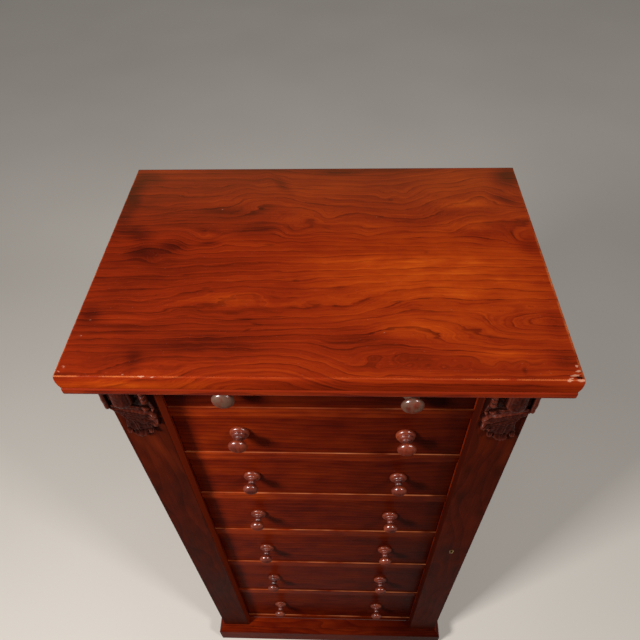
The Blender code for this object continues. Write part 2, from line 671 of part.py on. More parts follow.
def make_hinges(hinge):
    """Two brass butt hinges: alternate knuckles belong to the carcass leaf and to the stile leaf."""
    pitch = HINGE_LEAF_HEIGHT / HINGE_KNUCKLE_COUNT
    sides = {
        "carcass": (FRAME_FRONT_Y, FRAME_FRONT_Y + HINGE_LEAF_THICKNESS, 0, None),
        "stile": (STILE_BACK_Y - HINGE_LEAF_THICKNESS, STILE_BACK_Y, 1, hinge),
    }
    for label, z in HINGE_PLACES.items():
        foot = z - HINGE_LEAF_HEIGHT / 2
        head = foot + HINGE_LEAF_HEIGHT
        bore = cylinder_z(
            f"hinge_bore_{label}", HINGE_PIN_RADIUS + HINGE_PIN_CLEARANCE,
            (HINGE_X, HINGE_Y, foot - CUT_OVERRUN), (HINGE_X, HINGE_Y, head + CUT_OVERRUN),
            HINGE_SEGMENTS, CUTTERS,
        )
        for side, (front_y, back_y, first, parent) in sides.items():
            leaf = box(
                f"hinge_leaf_{side}_{label}",
                (OUTER_X - HINGE_LEAF_WIDTH, front_y, foot),
                (OUTER_X, back_y, head),
                PARTS,
            )
            for i in range(first, HINGE_KNUCKLE_COUNT, 2):
                low_z = foot + i * pitch + SEAT_GAP / 2
                high_z = low_z + pitch - SEAT_GAP
                tongue = box(
                    f"tongue_{side}_{label}_{i}",
                    (OUTER_X - SEAT_GAP, front_y, low_z), (HINGE_X, back_y, high_z), CUTTERS,
                )
                knuckle = cylinder_z(
                    f"knuckle_{side}_{label}_{i}", HINGE_KNUCKLE_RADIUS,
                    (HINGE_X, HINGE_Y, low_z), (HINGE_X, HINGE_Y, high_z), HINGE_SEGMENTS, CUTTERS,
                )
                join(leaf, tongue, knuckle)
            cut(leaf, as_cutter(bore))
            finish(leaf, BRASS, parent)
        pin = cylinder_z(
            f"hinge_pin_{label}", HINGE_PIN_RADIUS,
            (HINGE_X, HINGE_Y, foot), (HINGE_X, HINGE_Y, head + SEAT_GAP), HINGE_SEGMENTS, PARTS,
        )
        cap = cylinder_z(
            f"pin_head_{label}", HINGE_KNUCKLE_RADIUS,
            (HINGE_X, HINGE_Y, head + SEAT_GAP / 2), (HINGE_X, HINGE_Y, head + HINGE_PIN_HEAD),
            HINGE_SEGMENTS, CUTTERS,
        )
        finish(join(pin, cap), BRASS)
        recess = cutter_box(
            f"side_hinge_recess_{label}",
            (OUTER_X - HINGE_LEAF_WIDTH - SEAT_GAP, FRAME_FRONT_Y - CUT_OVERRUN, foot - SEAT_GAP),
            (OUTER_X + CUT_OVERRUN, FRAME_FRONT_Y + HINGE_LEAF_THICKNESS + SEAT_GAP, head + SEAT_GAP),
        )
        cut(SIDES["right"], recess)


def make_lock(hinge):
    """The lock case in the stile, its bolt, the escutcheon, and the link plate on the right post."""
    case_back_y = STILE_BACK_Y
    case_front_y = case_back_y - LOCK_CASE_DEPTH
    half_width, half_height = LOCK_CASE_WIDTH / 2, LOCK_CASE_HEIGHT / 2
    case = box(
        "lock_case",
        (LOCK_X - half_width, case_front_y, LOCK_Z - half_height),
        (LOCK_X + half_width, case_back_y, LOCK_Z + half_height),
        PARTS,
    )
    wall = LOCK_CASE_WALL
    cavity = cutter_box(
        "lock_cavity",
        (LOCK_X - half_width + wall, case_front_y + wall, LOCK_Z - half_height + wall),
        (LOCK_X + half_width - wall, case_back_y - wall, LOCK_Z + half_height - wall),
    )
    half_loop = BOLT_HEIGHT / 2 + LINK_CLEARANCE + LINK_RIM
    slot = cutter_box(
        "link_slot",
        (LINK_X - LINK_THICKNESS / 2 - LOCK_SLOT_MARGIN, case_back_y - wall - SEAT_GAP,
         BOLT_Z - half_loop - LOCK_SLOT_MARGIN),
        (LINK_X + LINK_THICKNESS / 2 + LOCK_SLOT_MARGIN, case_back_y + CUT_OVERRUN,
         BOLT_Z + half_loop + LOCK_SLOT_MARGIN),
    )
    keyhole = plate(
        "case_keyhole", keyhole_outline(0, LOCK_X, KEYHOLE_Z),
        case_front_y - CUT_OVERRUN, case_front_y + wall + SEAT_GAP, "xz", CUTTERS,
    )
    finish(cut(case, cavity, slot, as_cutter(keyhole)), BRASS, hinge)

    bolt_back_y = case_back_y - wall - SEAT_GAP
    throw = pivot("bolt_throw", (BOLT_TIP_X, bolt_back_y, BOLT_Z))
    throw.parent = hinge
    throw.matrix_parent_inverse = hinge.matrix_world.inverted()
    bpy.context.view_layer.update()
    bolt = box(
        "lock_bolt",
        (BOLT_TIP_X, bolt_back_y - BOLT_DEPTH, BOLT_Z - BOLT_HEIGHT / 2),
        (BOLT_TIP_X + BOLT_LENGTH, bolt_back_y, BOLT_Z + BOLT_HEIGHT / 2),
        PARTS,
    )
    finish(bolt, BRASS, throw)

    rim = plate(
        "escutcheon", keyhole_outline(ESCUTCHEON_RIM, LOCK_X, KEYHOLE_Z),
        STILE_FRONT_Y - ESCUTCHEON_PROUD, STILE_FRONT_Y - ESCUTCHEON_PROUD + ESCUTCHEON_DEPTH, "xz", PARTS,
    )
    hole = plate(
        "escutcheon_hole", keyhole_outline(0, LOCK_X, KEYHOLE_Z),
        STILE_FRONT_Y - CUT_OVERRUN, STILE_FRONT_Y + ESCUTCHEON_DEPTH + CUT_OVERRUN, "xz", CUTTERS,
    )
    finish(cut(rim, as_cutter(hole)), BRASS, hinge)

    loop_end_y = bolt_back_y - BOLT_DEPTH - LINK_CLEARANCE - LINK_RIM
    foot = box(
        "link_plate",
        (LINK_X - LINK_PLATE_WIDTH / 2, FRAME_FRONT_Y, BOLT_Z - LINK_PLATE_HEIGHT / 2),
        (LINK_X + LINK_PLATE_WIDTH / 2, FRAME_FRONT_Y + LINK_PLATE_THICKNESS,
         BOLT_Z + LINK_PLATE_HEIGHT / 2),
        PARTS,
    )
    loop = box(
        "link_loop",
        (LINK_X - LINK_THICKNESS / 2, loop_end_y, BOLT_Z - half_loop),
        (LINK_X + LINK_THICKNESS / 2, FRAME_FRONT_Y + LINK_PLATE_THICKNESS / 2, BOLT_Z + half_loop),
        CUTTERS,
    )
    eye = cutter_box(
        "link_eye",
        (LINK_X - LINK_THICKNESS, bolt_back_y - BOLT_DEPTH - LINK_CLEARANCE,
         BOLT_Z - BOLT_HEIGHT / 2 - LINK_CLEARANCE),
        (LINK_X + LINK_THICKNESS, bolt_back_y + LINK_CLEARANCE,
         BOLT_Z + BOLT_HEIGHT / 2 + LINK_CLEARANCE),
    )
    finish(cut(join(foot, loop), eye), BRASS)
    seat = cutter_box(
        "link_plate_seat",
        (LINK_X - LINK_PLATE_WIDTH / 2 - SEAT_GAP, FRAME_FRONT_Y - CUT_OVERRUN,
         BOLT_Z - LINK_PLATE_HEIGHT / 2 - SEAT_GAP),
        (LINK_X + LINK_PLATE_WIDTH / 2 + SEAT_GAP, FRAME_FRONT_Y + LINK_PLATE_THICKNESS + SEAT_GAP,
         BOLT_Z + LINK_PLATE_HEIGHT / 2 + SEAT_GAP),
    )
    cut(POSTS["right"], seat)


def dovetails(height):
    """The middle height of each tail on a drawer side of the given height."""
    pitch = DOVETAIL_NECK_WIDTH + 2 * DOVETAIL_FLARE + DOVETAIL_PIN_WIDTH
    count = max(1, int(height / pitch))
    return [height * (i + 1 / 2) / count for i in range(count)]


def tail_outline(middle, grow, front_y, root_y):
    """A tail in (y, z), wider at its tip, which is nearest the drawer's face."""
    neck = DOVETAIL_NECK_WIDTH / 2 + grow
    tip = neck + DOVETAIL_FLARE
    lower = [(root_y, middle - neck), (front_y, middle - tip)]
    return [*lower, (front_y, middle + tip), (root_y, middle + neck)]


def row_share(shares, number):
    """The share of the given drawer: its own entry, or the last one below those listed."""
    return shares[min(number, len(shares)) - 1]


def knob_profile(number):
    """(radius, height) from the crown of the head down to the end of the spigot, for the given drawer."""
    head = KNOB_HEAD_DIAMETER / 2 * row_share(ROW_HEAD_SHARES, number)
    base = KNOB_BASE_DIAMETER / 2 * row_share(ROW_BASE_SHARES, number)
    points = [(0, KNOB_PROJECTION)]
    for shares, radius in ((KNOB_HEAD_SHARES, head), (KNOB_BASE_SHARES, base)):
        for radius_share, height_share in shares:
            points.append((radius * radius_share, KNOB_PROJECTION * height_share))
    spigot = KNOB_SPIGOT_DIAMETER / 2
    points += [(base, 0), (spigot, 0)]
    points += [(spigot, -KNOB_SPIGOT_LENGTH), (0, -KNOB_SPIGOT_LENGTH)]
    return points


def make_drawer(number, floor, opening):
    """One drawer: a front, a dovetailed box, and two turned knobs whose spigots sit in the front."""
    name = f"drawer_{number}"
    slide = pivot(name + "_slide", (0, DRAWER_FRONT_Y, floor))
    foot = floor + SEAT_GAP
    height = opening - SEAT_GAP - DRAWER_HEAD_GAP
    side_height = height - DRAWER_SIDE_DROP
    half_width = DRAWER_HALF_WIDTH
    socket_y = DRAWER_INNER_Y - DOVETAIL_LENGTH
    bottom_z = foot + DRAWER_BOTTOM_LIFT

    low = (-half_width, DRAWER_FRONT_Y, foot)
    front = box(name + "_front", low, (half_width, DRAWER_INNER_Y, foot + height), PARTS)
    round_edges(front, DRAWER_FRONT_ROUNDING, 1)
    groove = cutter_box(
        name + "_groove",
        (DRAWER_SIDE_THICKNESS - half_width - SEAT_GAP, DRAWER_INNER_Y - DRAWER_GROOVE_DEPTH,
         bottom_z - SEAT_GAP),
        (half_width - DRAWER_SIDE_THICKNESS + SEAT_GAP, DRAWER_INNER_Y + CUT_OVERRUN,
         bottom_z + DRAWER_BOTTOM_THICKNESS + SEAT_GAP),
    )
    cut(front, groove)

    body = None
    for label, sign in (("left", -1), ("right", 1)):
        outline = [(DRAWER_INNER_Y + SEAT_GAP, foot)]
        for middle in dovetails(side_height):
            tail = tail_outline(foot + middle, 0, socket_y + SEAT_GAP, DRAWER_INNER_Y + SEAT_GAP)
            outline += tail
            inner = half_width - DRAWER_SIDE_THICKNESS - SEAT_GAP
            xs = sorted((sign * inner, sign * (half_width + CUT_OVERRUN)))
            socket = plate(
                f"{name}_socket_{label}_{middle:.4f}",
                tail_outline(foot + middle, SEAT_GAP, socket_y, DRAWER_INNER_Y + CUT_OVERRUN),
                xs[0], xs[1], "yz", CUTTERS,
            )
            cut(front, as_cutter(socket))
        head = foot + side_height
        outline += [(DRAWER_INNER_Y + SEAT_GAP, head), (DRAWER_END_Y, head), (DRAWER_END_Y, foot)]
        xs = sorted((sign * (half_width - DRAWER_SIDE_THICKNESS), sign * half_width))
        home = CUTTERS if body else PARTS
        cheek = plate(f"{name}_side_{label}" if body else name + "_box", outline, xs[0], xs[1], "yz", home)
        body = join(body, cheek) if body else cheek

    inner = half_width - DRAWER_SIDE_THICKNESS / 2
    back_end_y = DRAWER_END_Y - DRAWER_BACK_INSET
    back = box(
        name + "_back",
        (-inner, back_end_y - DRAWER_BACK_THICKNESS, bottom_z + DRAWER_BOTTOM_THICKNESS / 2),
        (inner, back_end_y, foot + side_height - DRAWER_BACK_DROP),
        CUTTERS,
    )
    tongue = DRAWER_GROOVE_DEPTH - SEAT_GAP
    bottom_half = half_width - DRAWER_SIDE_THICKNESS
    bottom = box(
        name + "_bottom",
        (-bottom_half, DRAWER_INNER_Y - tongue, bottom_z),
        (bottom_half, DRAWER_END_Y - DRAWER_BACK_INSET / 2, bottom_z + DRAWER_BOTTOM_THICKNESS),
        CUTTERS,
    )
    join(body, back, bottom)
    finish(body, DRAWER_LINING, slide)

    for label, sign, places, rises in (
        ("left", -1, LEFT_PLACE_SHARES, LEFT_RISE_SHARES),
        ("right", 1, RIGHT_PLACE_SHARES, RIGHT_RISE_SHARES),
    ):
        x = sign * KNOB_SPACING * row_share(places, number)
        knob_z = foot + height / 2 + KNOB_RISE * row_share(rises, number)
        knob = turned(f"{name}_knob_{label}", knob_profile(number), KNOB_SEGMENTS, PARTS)
        knob.rotation_euler = (math.pi / 2, 0, 0)
        knob.location = (x, DRAWER_FRONT_Y - SEAT_GAP, knob_z)
        finish(knob, DARK_MAHOGANY, slide)
        bm = bmesh.new()
        bmesh.ops.create_cone(
            bm, cap_ends=True, segments=KNOB_SEGMENTS, radius1=KNOB_SPIGOT_DIAMETER / 2 + SEAT_GAP,
            radius2=KNOB_SPIGOT_DIAMETER / 2 + SEAT_GAP, depth=DRAWER_FRONT_THICKNESS + 2 * CUT_OVERRUN,
        )
        hole = object_of(f"{name}_knob_hole_{label}", bm, CUTTERS)
        hole.rotation_euler = (math.pi / 2, 0, 0)
        hole.location = (x, (DRAWER_FRONT_Y + DRAWER_INNER_Y) / 2, knob_z)
        cut(front, as_cutter(hole))
    finish(front, MAHOGANY, slide)


def main():
    tops = rail_tops()
    make_top()
    make_sides(tops)
    make_posts()
    make_back()
    make_dustboards(tops)
    make_plinth()
    make_fixed_stile()
    hinge = pivot("locking_stile_hinge", (HINGE_X, HINGE_Y, PLINTH_HEIGHT))
    make_locking_stile(hinge)
    make_hinges(hinge)
    make_lock(hinge)
    for i, (top, opening) in enumerate(zip(tops, OPENINGS)):
        make_drawer(i + 1, top, opening)


clear_scene()
PARTS = collection("Wellington chest")
CUTTERS = collection("Cutters and joined shapes")
SIDES = {}
POSTS = {}
HINGE_PLACES = {"top": CARCASS_TOP_Z - HINGE_END_DISTANCE, "bottom": PLINTH_HEIGHT + HINGE_END_DISTANCE}
main()
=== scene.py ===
"""The looks of a polished mahogany wellington chest: finishes, fine pieces, light and camera.

Metres, +Z up. The front faces -Y. The file is laid out as a Blender add-on and run as a script.
"""

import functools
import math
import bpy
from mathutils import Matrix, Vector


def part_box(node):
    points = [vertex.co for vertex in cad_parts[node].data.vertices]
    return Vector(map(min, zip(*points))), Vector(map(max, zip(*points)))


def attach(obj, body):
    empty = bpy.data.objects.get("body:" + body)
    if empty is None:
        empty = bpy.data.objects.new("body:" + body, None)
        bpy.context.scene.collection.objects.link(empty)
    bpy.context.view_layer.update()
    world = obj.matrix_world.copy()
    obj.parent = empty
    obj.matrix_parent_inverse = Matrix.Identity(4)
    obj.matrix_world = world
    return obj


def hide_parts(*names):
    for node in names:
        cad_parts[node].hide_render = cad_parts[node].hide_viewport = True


bl_info = {
    "name": "Wellington Chest",
    "version": (1, 0, 0),
    "blender": (4, 5, 0),
    "location": "3D View > Sidebar > Chest",
    "description": "Finishes and fine pieces of a mahogany wellington chest",
    "category": "Object",
}

import bmesh
import bpy
import numpy as np
from bpy.props import FloatProperty, FloatVectorProperty, IntProperty, PointerProperty
from mathutils import Matrix, Vector, noise

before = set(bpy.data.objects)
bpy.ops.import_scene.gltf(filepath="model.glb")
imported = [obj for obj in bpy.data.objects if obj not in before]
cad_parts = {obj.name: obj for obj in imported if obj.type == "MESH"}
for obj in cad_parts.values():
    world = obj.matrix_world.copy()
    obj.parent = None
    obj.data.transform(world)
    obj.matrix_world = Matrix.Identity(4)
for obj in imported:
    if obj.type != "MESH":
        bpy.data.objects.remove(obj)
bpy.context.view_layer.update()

MM = 0.001
DRAWERS = range(1, 8)

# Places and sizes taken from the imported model
TOP_LOW, TOP_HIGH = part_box("top_board")
SUB_TOP_LOW, SUB_TOP_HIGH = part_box("sub_top")
PANEL_LOW, PANEL_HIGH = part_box("back_panel")
RAIL_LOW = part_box("top_rail")[0]
KNOB_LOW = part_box("drawer_1_knob_left")[0]
FRONT_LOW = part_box("drawer_1_front")[0]
SIDE_RIGHT_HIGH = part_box("side_right")[1]
STILE_LEAF_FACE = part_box("locking_stile")[1].y
HINGE_ENDS = ("top", "bottom")

# Faces and points round the outline of a board, and the least radius of its corners in mm
END_STEPS, CORNER_STEPS, FRONT_STEPS, BACK_STEPS = 90, 6, 180, 130
SHARP_CORNER = 0.2

# Screws and nails: places on the leaves, the lock and the back, and how far heads stand out or are sunk, in
# mm, with the slot's width as a share of the head's, the counts of nails and the seeds of the random turns
HINGE_SCREW_STEPS = (-17.0, 0.0, 17.0)
HINGE_SCREW_INSET = 6.5
LOCK_SCREW_INSET = 4.0
SCREW_STANDS_OUT = 0.04
SLOT_SHARE = 0.18
SCREW_SEED = 5
NAIL_INSET = 6.0
NAIL_FROM_END_UP, NAIL_FROM_END_ACROSS = 30, 60
NAIL_HEIGHT = 0.6
NAIL_SUNK = 0.1
NAILS_UP, NAILS_ACROSS = 13, 6
NAIL_SEED = 11

# The floor's half width, the height that the lamps light, each lamp's direction and distance, all in metres,
# and the sensor's width in mm
FLOOR_HALF = 9.0
LIT_HEIGHT = 1.0
LAMPS = {"left": ((-0.67, -0.49, 0.57), 1.9), "right": ((0.61, -0.42, 0.68), 2.2)}
SENSOR_WIDTH = 36.0

# Edge mouldings as (drop below the upper face, inset from the widest line), in mm, from the lower face up
TOP_PROFILE = (
    (25.0, 3.2), (24.8, 2.2), (24.0, 1.6), (21.0, 1.1), (17.0, 0.45), (13.0, 0.1), (9.0, 0.0),
    (5.0, 0.2), (2.2, 0.6), (1.0, 1.0), (0.35, 1.5), (0.0, 2.3),
)
SUB_TOP_PROFILE = (
    (11.0, 2.6), (10.8, 1.4), (10.2, 0.6), (9.2, 0.1), (8.0, 0.0), (3.0, 0.0),
    (1.6, 0.15), (0.7, 0.6), (0.25, 1.1), (0.0, 2.2),
)

# Shares of the top's size at which its upper face has a ring of vertices
TOP_STEPS = (0.9965, 0.992, 0.986, 0.978, *np.linspace(0.968, 0.02, 62))

# The figure of the top leans as it runs down the edge. A ring stands for some mm, and holds finer rings.
FIGURE_SLANT = 0.8
RING_SPACING = 14.0
FINE_RINGS = 3.7

# How the drawn lines are spread over the top: the step along a line in mm, how loosely the surface follows
# the lines, how far their boldness reaches in mm, and how many places are worked out at a time
TRACE_STEP = 18
PLATE_SOFTNESS = 60.0
BOLD_REACH = 14.0
AT_A_TIME = 4000

# The figure of the top, drawn as growth lines: (ring, boldness, points), in mm from the middle of the top
FIGURE_LINES = (
    (-15, 0.5, ((-138, -206), (-120, -199), (-100, -196), (-70, -195), (-45, -193), (-25, -196),
        (-12, -203))),
    (-14, 0.9, ((-172, -205), (-152, -197), (-138, -190), (-122, -187), (-100, -185), (-60, -181),
        (-35, -183), (-15, -187), (5, -194), (24, -204))),
    (-13, 0.5, ((-300, -196), (-250, -190), (-208, -177), (-190, -172), (-165, -171), (-130, -173),
        (-100, -175), (-75, -172), (-45, -170), (-15, -174), (12, -181), (30, -190), (60, -196),
        (85, -196), (140, -197), (200, -196), (300, -195))),
    (-12, 0.4, ((-300, -166), (-250, -165), (-228, -165), (-190, -165), (-150, -161), (-90, -158),
        (-70, -162), (-30, -162), (-10, -164), (5, -170), (25, -178), (42, -187), (70, -190),
        (125, -190), (183, -186), (240, -186), (300, -184))),
    (-11, 0.9, ((-300, -156), (-200, -156), (-165, -157), (-120, -155), (-60, -151), (-5, -150),
        (5, -152), (14, -157), (25, -156.5), (40, -156), (55, -153.5), (68, -152.5), (90, -153),
        (115, -156), (140, -162), (180, -164), (215, -168), (240, -168), (300, -170))),
    (-12, 0.9, ((57, -184), (52, -181), (52, -177), (57, -173), (65, -171), (75, -169), (88, -167),
        (110, -167), (140, -168), (165, -168), (182, -169), (200, -174), (225, -177), (245, -177),
        (268, -175.5), (300, -176))),
    (-12.8, 0.0, ((66, -178), (100, -178), (140, -179), (180, -180.5), (215, -182), (260, -181.5),
        (300, -181))),
    (-10, 0.8, ((-300, -152), (-250, -149), (-200, -147), (-160, -145), (-100, -143), (-60, -141),
        (-25, -138), (0, -138), (20, -139), (40, -137), (60, -135), (72, -131), (82, -127), (95, -125),
        (107, -123), (118, -123), (130, -125), (141, -128), (151, -133), (157, -140), (159, -147),
        (165, -152), (178, -154), (192, -156), (201, -158), (217, -160), (240, -161), (300, -163))),
    (-9, 0.6, ((-300, -133), (-250, -133), (-200, -133), (-150, -131), (-100, -132), (-60, -132),
        (-25, -130), (5, -130), (23, -128), (35, -126), (50, -123), (60, -122), (68, -120), (77, -118),
        (92, -115.5), (112, -114), (140, -114), (170, -116), (190, -121), (201, -128), (209, -136),
        (222, -141), (240, -143), (270, -143), (300, -144))),
    (-8, 0.6, ((-300, -125), (-250, -124), (-200, -126), (-150, -122), (-100, -125), (-60, -122),
        (-20, -121), (10, -119), (35, -116), (50, -113), (62, -111), (76, -109), (90, -105),
        (98, -101), (106, -98), (118, -95), (135, -97), (152, -97), (166, -97.5), (182, -99),
        (205, -99), (222, -95), (240, -96), (255, -99), (278, -98), (300, -97))),
    (-8, 0.8, ((300, -136), (275, -135), (255, -134), (238, -135), (223, -133), (215, -126),
        (212, -118), (216, -112), (224, -108.5), (240, -104), (262, -103), (300, -103))),
    (-7, 0.8, ((300, -132), (275, -131.5), (255, -131), (244, -128), (239, -122), (242, -116),
        (252, -111), (268, -107.5), (300, -108))),
    (-6, 0.5, ((300, -123), (275, -123), (258, -120), (262, -115), (280, -112), (300, -113))),
    (-7, 1.0, ((-300, -116), (-285, -117), (-265, -115), (-250, -114), (-232, -115), (-222, -116),
        (-212, -119), (-200, -117), (-187, -114), (-175, -112), (-166, -110.5), (-155, -111),
        (-145, -114), (-130, -115), (-112, -116), (-90, -115.5), (-60, -113.5), (-45, -113.5),
        (-20, -112), (0, -112), (15, -110), (35, -108), (50, -106), (58, -102), (65, -98), (72, -94.5),
        (80, -90.5), (90, -87), (105, -83), (115, -79), (125, -75), (145, -73), (155, -73), (175, -75),
        (195, -77), (212, -79), (235, -79), (255, -78), (300, -78))),
    (-6, 0.6, ((-300, -101), (-280, -102), (-262, -102), (-232, -102), (-212, -101), (-195, -98),
        (-185, -94), (-175, -90), (-165, -87), (-155, -84), (-148, -81), (-138, -76), (-125, -74),
        (-110, -70), (-98, -68), (-82, -69), (-72, -72), (-64, -78), (-45, -82), (-30, -82),
        (-15, -79), (0, -75.5), (12, -76), (22, -80), (34, -82), (45, -78), (55, -72), (66, -69.5),
        (80, -67.5), (88, -65), (97, -62), (118, -60), (150, -57.5), (205, -58), (245, -57.5),
        (258, -60), (280, -63), (300, -65))),
    (-5, 0.6, ((-300, -84), (-260, -80), (-222, -80), (-205, -78), (-193, -74), (-175, -67),
        (-160, -65), (-145, -62), (-133, -61), (-110, -59), (-60, -58), (-16, -59.5), (10, -59),
        (27, -56), (40, -54.5), (52, -51), (80, -49), (105, -47), (140, -44), (200, -44), (245, -45),
        (300, -47))),
    (-4, 0.4, ((-300, -62), (-260, -60), (-200, -57.5), (-185, -56.5), (-160, -52), (-125, -48),
        (-100, -45), (-58, -44), (-45, -46), (-30, -45), (0, -38), (40, -37), (90, -36), (140, -37),
        (200, -34), (250, -35), (300, -36))),
    (-3, 0.5, ((-300, -36), (-265, -36), (-215, -35), (-180, -33), (-140, -30), (-105, -27),
        (-60, -27), (-20, -26), (40, -28), (75, -26), (100, -23), (125, -21), (140, -19), (180, -18),
        (240, -18), (300, -19))),
    (-2, 0.5, ((-300, -22), (-250, -20), (-200, -22), (-180, -20), (-150, -18), (-110, -12), (-75, -9),
        (-30, -12), (5, -12), (20, -12), (32, -9), (60, -6), (100, -2), (150, -1), (200, -2),
        (240, -3), (300, -7))),
    (-1, 0.5, ((-225, -14), (-213, -6), (-203, -3), (-190, -6), (-165, -1), (-145, -2), (-100, -1),
        (-50, -1), (0, 1), (50, 4), (100, 4), (150, 3), (165, 5.5), (180, 4), (220, 2), (260, 0),
        (300, 0))),
    (0, 0.6, ((-222, 18), (-208, 14), (-198, 6), (-187, 4), (-170, 6), (-140, 8), (-118, 12),
        (-80, 12), (-50, 12), (10, 12), (60, 12), (100, 13), (115, 15.5), (140, 14), (165, 11),
        (190, 12.5), (203, 10.5), (215, 8), (240, 7.5), (270, 8), (300, 7))),
    (1, 0.6, ((-205, 26), (-192, 19), (-186, 11), (-178, 12), (-168, 17), (-152, 15.5), (-145, 19),
        (-138, 26), (-115, 22), (-90, 19), (-70, 23), (-40, 26), (-5, 24), (40, 22), (60, 22),
        (100, 20), (165, 19.5), (200, 19), (220, 17), (245, 14), (270, 14), (300, 12))),
    (2, 0.6, ((-215, 36), (-198, 34), (-188, 26), (-176, 25), (-165, 24), (-152, 24), (-146, 26),
        (-136, 31), (-115, 34), (-95, 36), (-60, 30), (-40, 33), (-22, 30), (0, 33), (40, 30),
        (65, 27), (100, 27), (120, 28), (165, 29), (185, 30), (205, 30), (215, 28), (226, 24),
        (240, 21), (262, 18), (300, 16))),
    (3, 0.9, ((-300, 44), (-262, 40), (-235, 42), (-205, 46), (-190, 40), (-181, 34), (-168, 30),
        (-156, 30), (-144, 33), (-137, 39), (-115, 44), (-80, 48), (-62, 50), (-55, 44), (-48, 38),
        (-38, 36), (-22, 38), (0, 42), (40, 40), (62, 34), (75, 35), (100, 38), (140, 43), (172, 45.5),
        (195, 44.5), (215, 44), (230, 42), (245, 40), (253, 37), (258, 32), (261.5, 26.5), (267, 23),
        (278, 21.5), (300, 21))),
    (4, 0.8, ((-170, 38), (-160, 42), (-150, 40), (-155, 36), (-165, 35), (-170, 38))),
    (4, 0.7, ((-300, 58), (-250, 56), (-205, 57), (-180, 47), (-160, 51), (-148, 46), (-130, 54),
        (-100, 58), (-80, 62), (-66, 64), (-57, 56), (-48, 46), (-35, 43), (-20, 46), (-5, 52),
        (6, 52), (25, 50), (50, 50), (66, 43), (75, 47), (88, 51), (100, 53.5), (120, 56), (150, 54),
        (174, 49), (184, 52), (190, 57), (196, 63), (203, 69), (212, 74), (225, 76), (240, 77),
        (255, 80), (275, 84), (300, 90))),
    (5, 0.6, ((-300, 68), (-262, 68), (-230, 72), (-200, 74), (-160, 75), (-120, 72), (-98, 74),
        (-75, 72), (-62, 70), (-54, 75), (-44, 79), (-34, 86), (-26, 94), (-15, 90), (-5, 78),
        (12, 70), (30, 70), (45, 68.5), (60, 68), (70, 63.5), (85, 62), (110, 65), (128, 63),
        (142, 64), (155, 67), (168, 73), (182, 77), (196, 82), (206, 87), (218, 92), (230, 92),
        (247, 88), (262, 91), (280, 98), (300, 106))),
    (6, 0.6, ((-300, 76), (-270, 77), (-245, 81), (-225, 85), (-213, 89), (-190, 88), (-160, 87),
        (-138, 86), (-125, 89), (-115, 97), (-109, 108), (-100, 117), (-85, 119.5), (-60, 120),
        (-40, 112), (-20, 104), (0, 96), (9, 83), (15, 88), (25, 94), (45, 99), (62, 98), (90, 93),
        (120, 88), (150, 90), (162, 95), (168, 105), (175, 115), (184, 120), (195, 122), (206, 124.5),
        (216, 129.5), (223, 134), (230, 137.5), (243, 138), (247, 132), (252, 127), (260, 122.5),
        (270, 118), (277, 112), (285, 108), (300, 104))),
    (7, 0.6, ((-300, 92), (-265, 93), (-238, 96), (-220, 100), (-198, 105), (-175, 111), (-150, 119),
        (-125, 130), (-100, 134), (-60, 135), (-20, 122), (0, 120), (30, 113), (60, 108), (85, 106),
        (112, 104), (130, 107), (143, 113), (152, 120), (160, 123.5), (168, 127), (177, 132),
        (190, 136), (200, 139), (208, 142), (220, 146), (235, 149), (247, 148), (254, 138), (262, 136),
        (272, 128), (282, 122), (300, 116))),
    (8, 0.6, ((-300, 118), (-250, 119), (-212, 122), (-200, 124), (-185, 123), (-165, 121),
        (-140, 126), (-120, 142), (-100, 147), (-70, 144), (-52, 142), (-20, 134), (20, 130),
        (50, 128), (75, 124), (90, 122), (102, 121), (115, 120), (130, 123.5), (140, 127), (148, 132),
        (153, 139), (162, 146), (180, 149), (205, 150), (225, 154), (245, 160), (262, 160), (278, 146),
        (300, 132))),
    (9, 0.6, ((-300, 146), (-250, 145), (-214, 144), (-206, 138), (-198, 138), (-170, 140),
        (-145, 146), (-125, 158), (-112, 158), (-95, 150), (-75, 152), (-56, 150), (-44, 150),
        (-20, 145), (20, 142), (50, 138), (70, 139), (81, 143), (88, 134), (93, 127), (100, 131),
        (108, 138), (115, 132), (122, 126), (130, 131), (137, 139), (148, 150), (158, 155), (168, 157),
        (182, 157), (200, 159), (213, 161.5), (221, 165.5), (232, 170), (255, 176), (275, 170),
        (300, 160))),
    (10, 0.5, ((-300, 164), (-200, 164), (-150, 168), (-120, 168), (-100, 162), (-80, 168), (-62, 165),
        (-50, 157), (-20, 154), (20, 152), (55, 150), (76, 150), (84, 154), (93, 146), (99, 144),
        (106, 152), (114, 146), (121, 141), (126, 148), (134, 157), (150, 165), (180, 170), (210, 174),
        (240, 184), (300, 182))),
    (11, 0.5, ((-300, 184), (-200, 184), (-130, 184), (-100, 182), (-86, 192), (-76, 182), (-60, 172),
        (-35, 168), (20, 165), (60, 162), (86, 165), (100, 164), (112, 167), (125, 170), (150, 177),
        (180, 182), (215, 190), (260, 198), (300, 198))),
    (12, 0.4, ((-300, 200), (-200, 200), (-100, 198), (-60, 190), (-30, 184), (20, 180), (60, 178),
        (100, 179), (150, 188), (180, 194), (205, 202))),
    (13, 0.3, ((-60, 206), (-20, 198), (20, 194), (60, 192), (100, 193), (140, 203))),
    (-16, 0.3, ((-60, -206), (-90, -205))),
    (0, 0.4, ((-300, 10), (-275, 8), (-255, 12), (-240, 20), (-222, 18))),
    (1, 0.5, ((-300, 22), (-270, 22), (-250, 28), (-225, 28), (-205, 26))),
    (2, 0.5, ((-300, 34), (-275, 32), (-262, 34), (-240, 36), (-215, 36))),
    (-1, 0.4, ((-300, -8), (-265, -6), (-245, 2), (-235, 0), (-225, -14))),
)

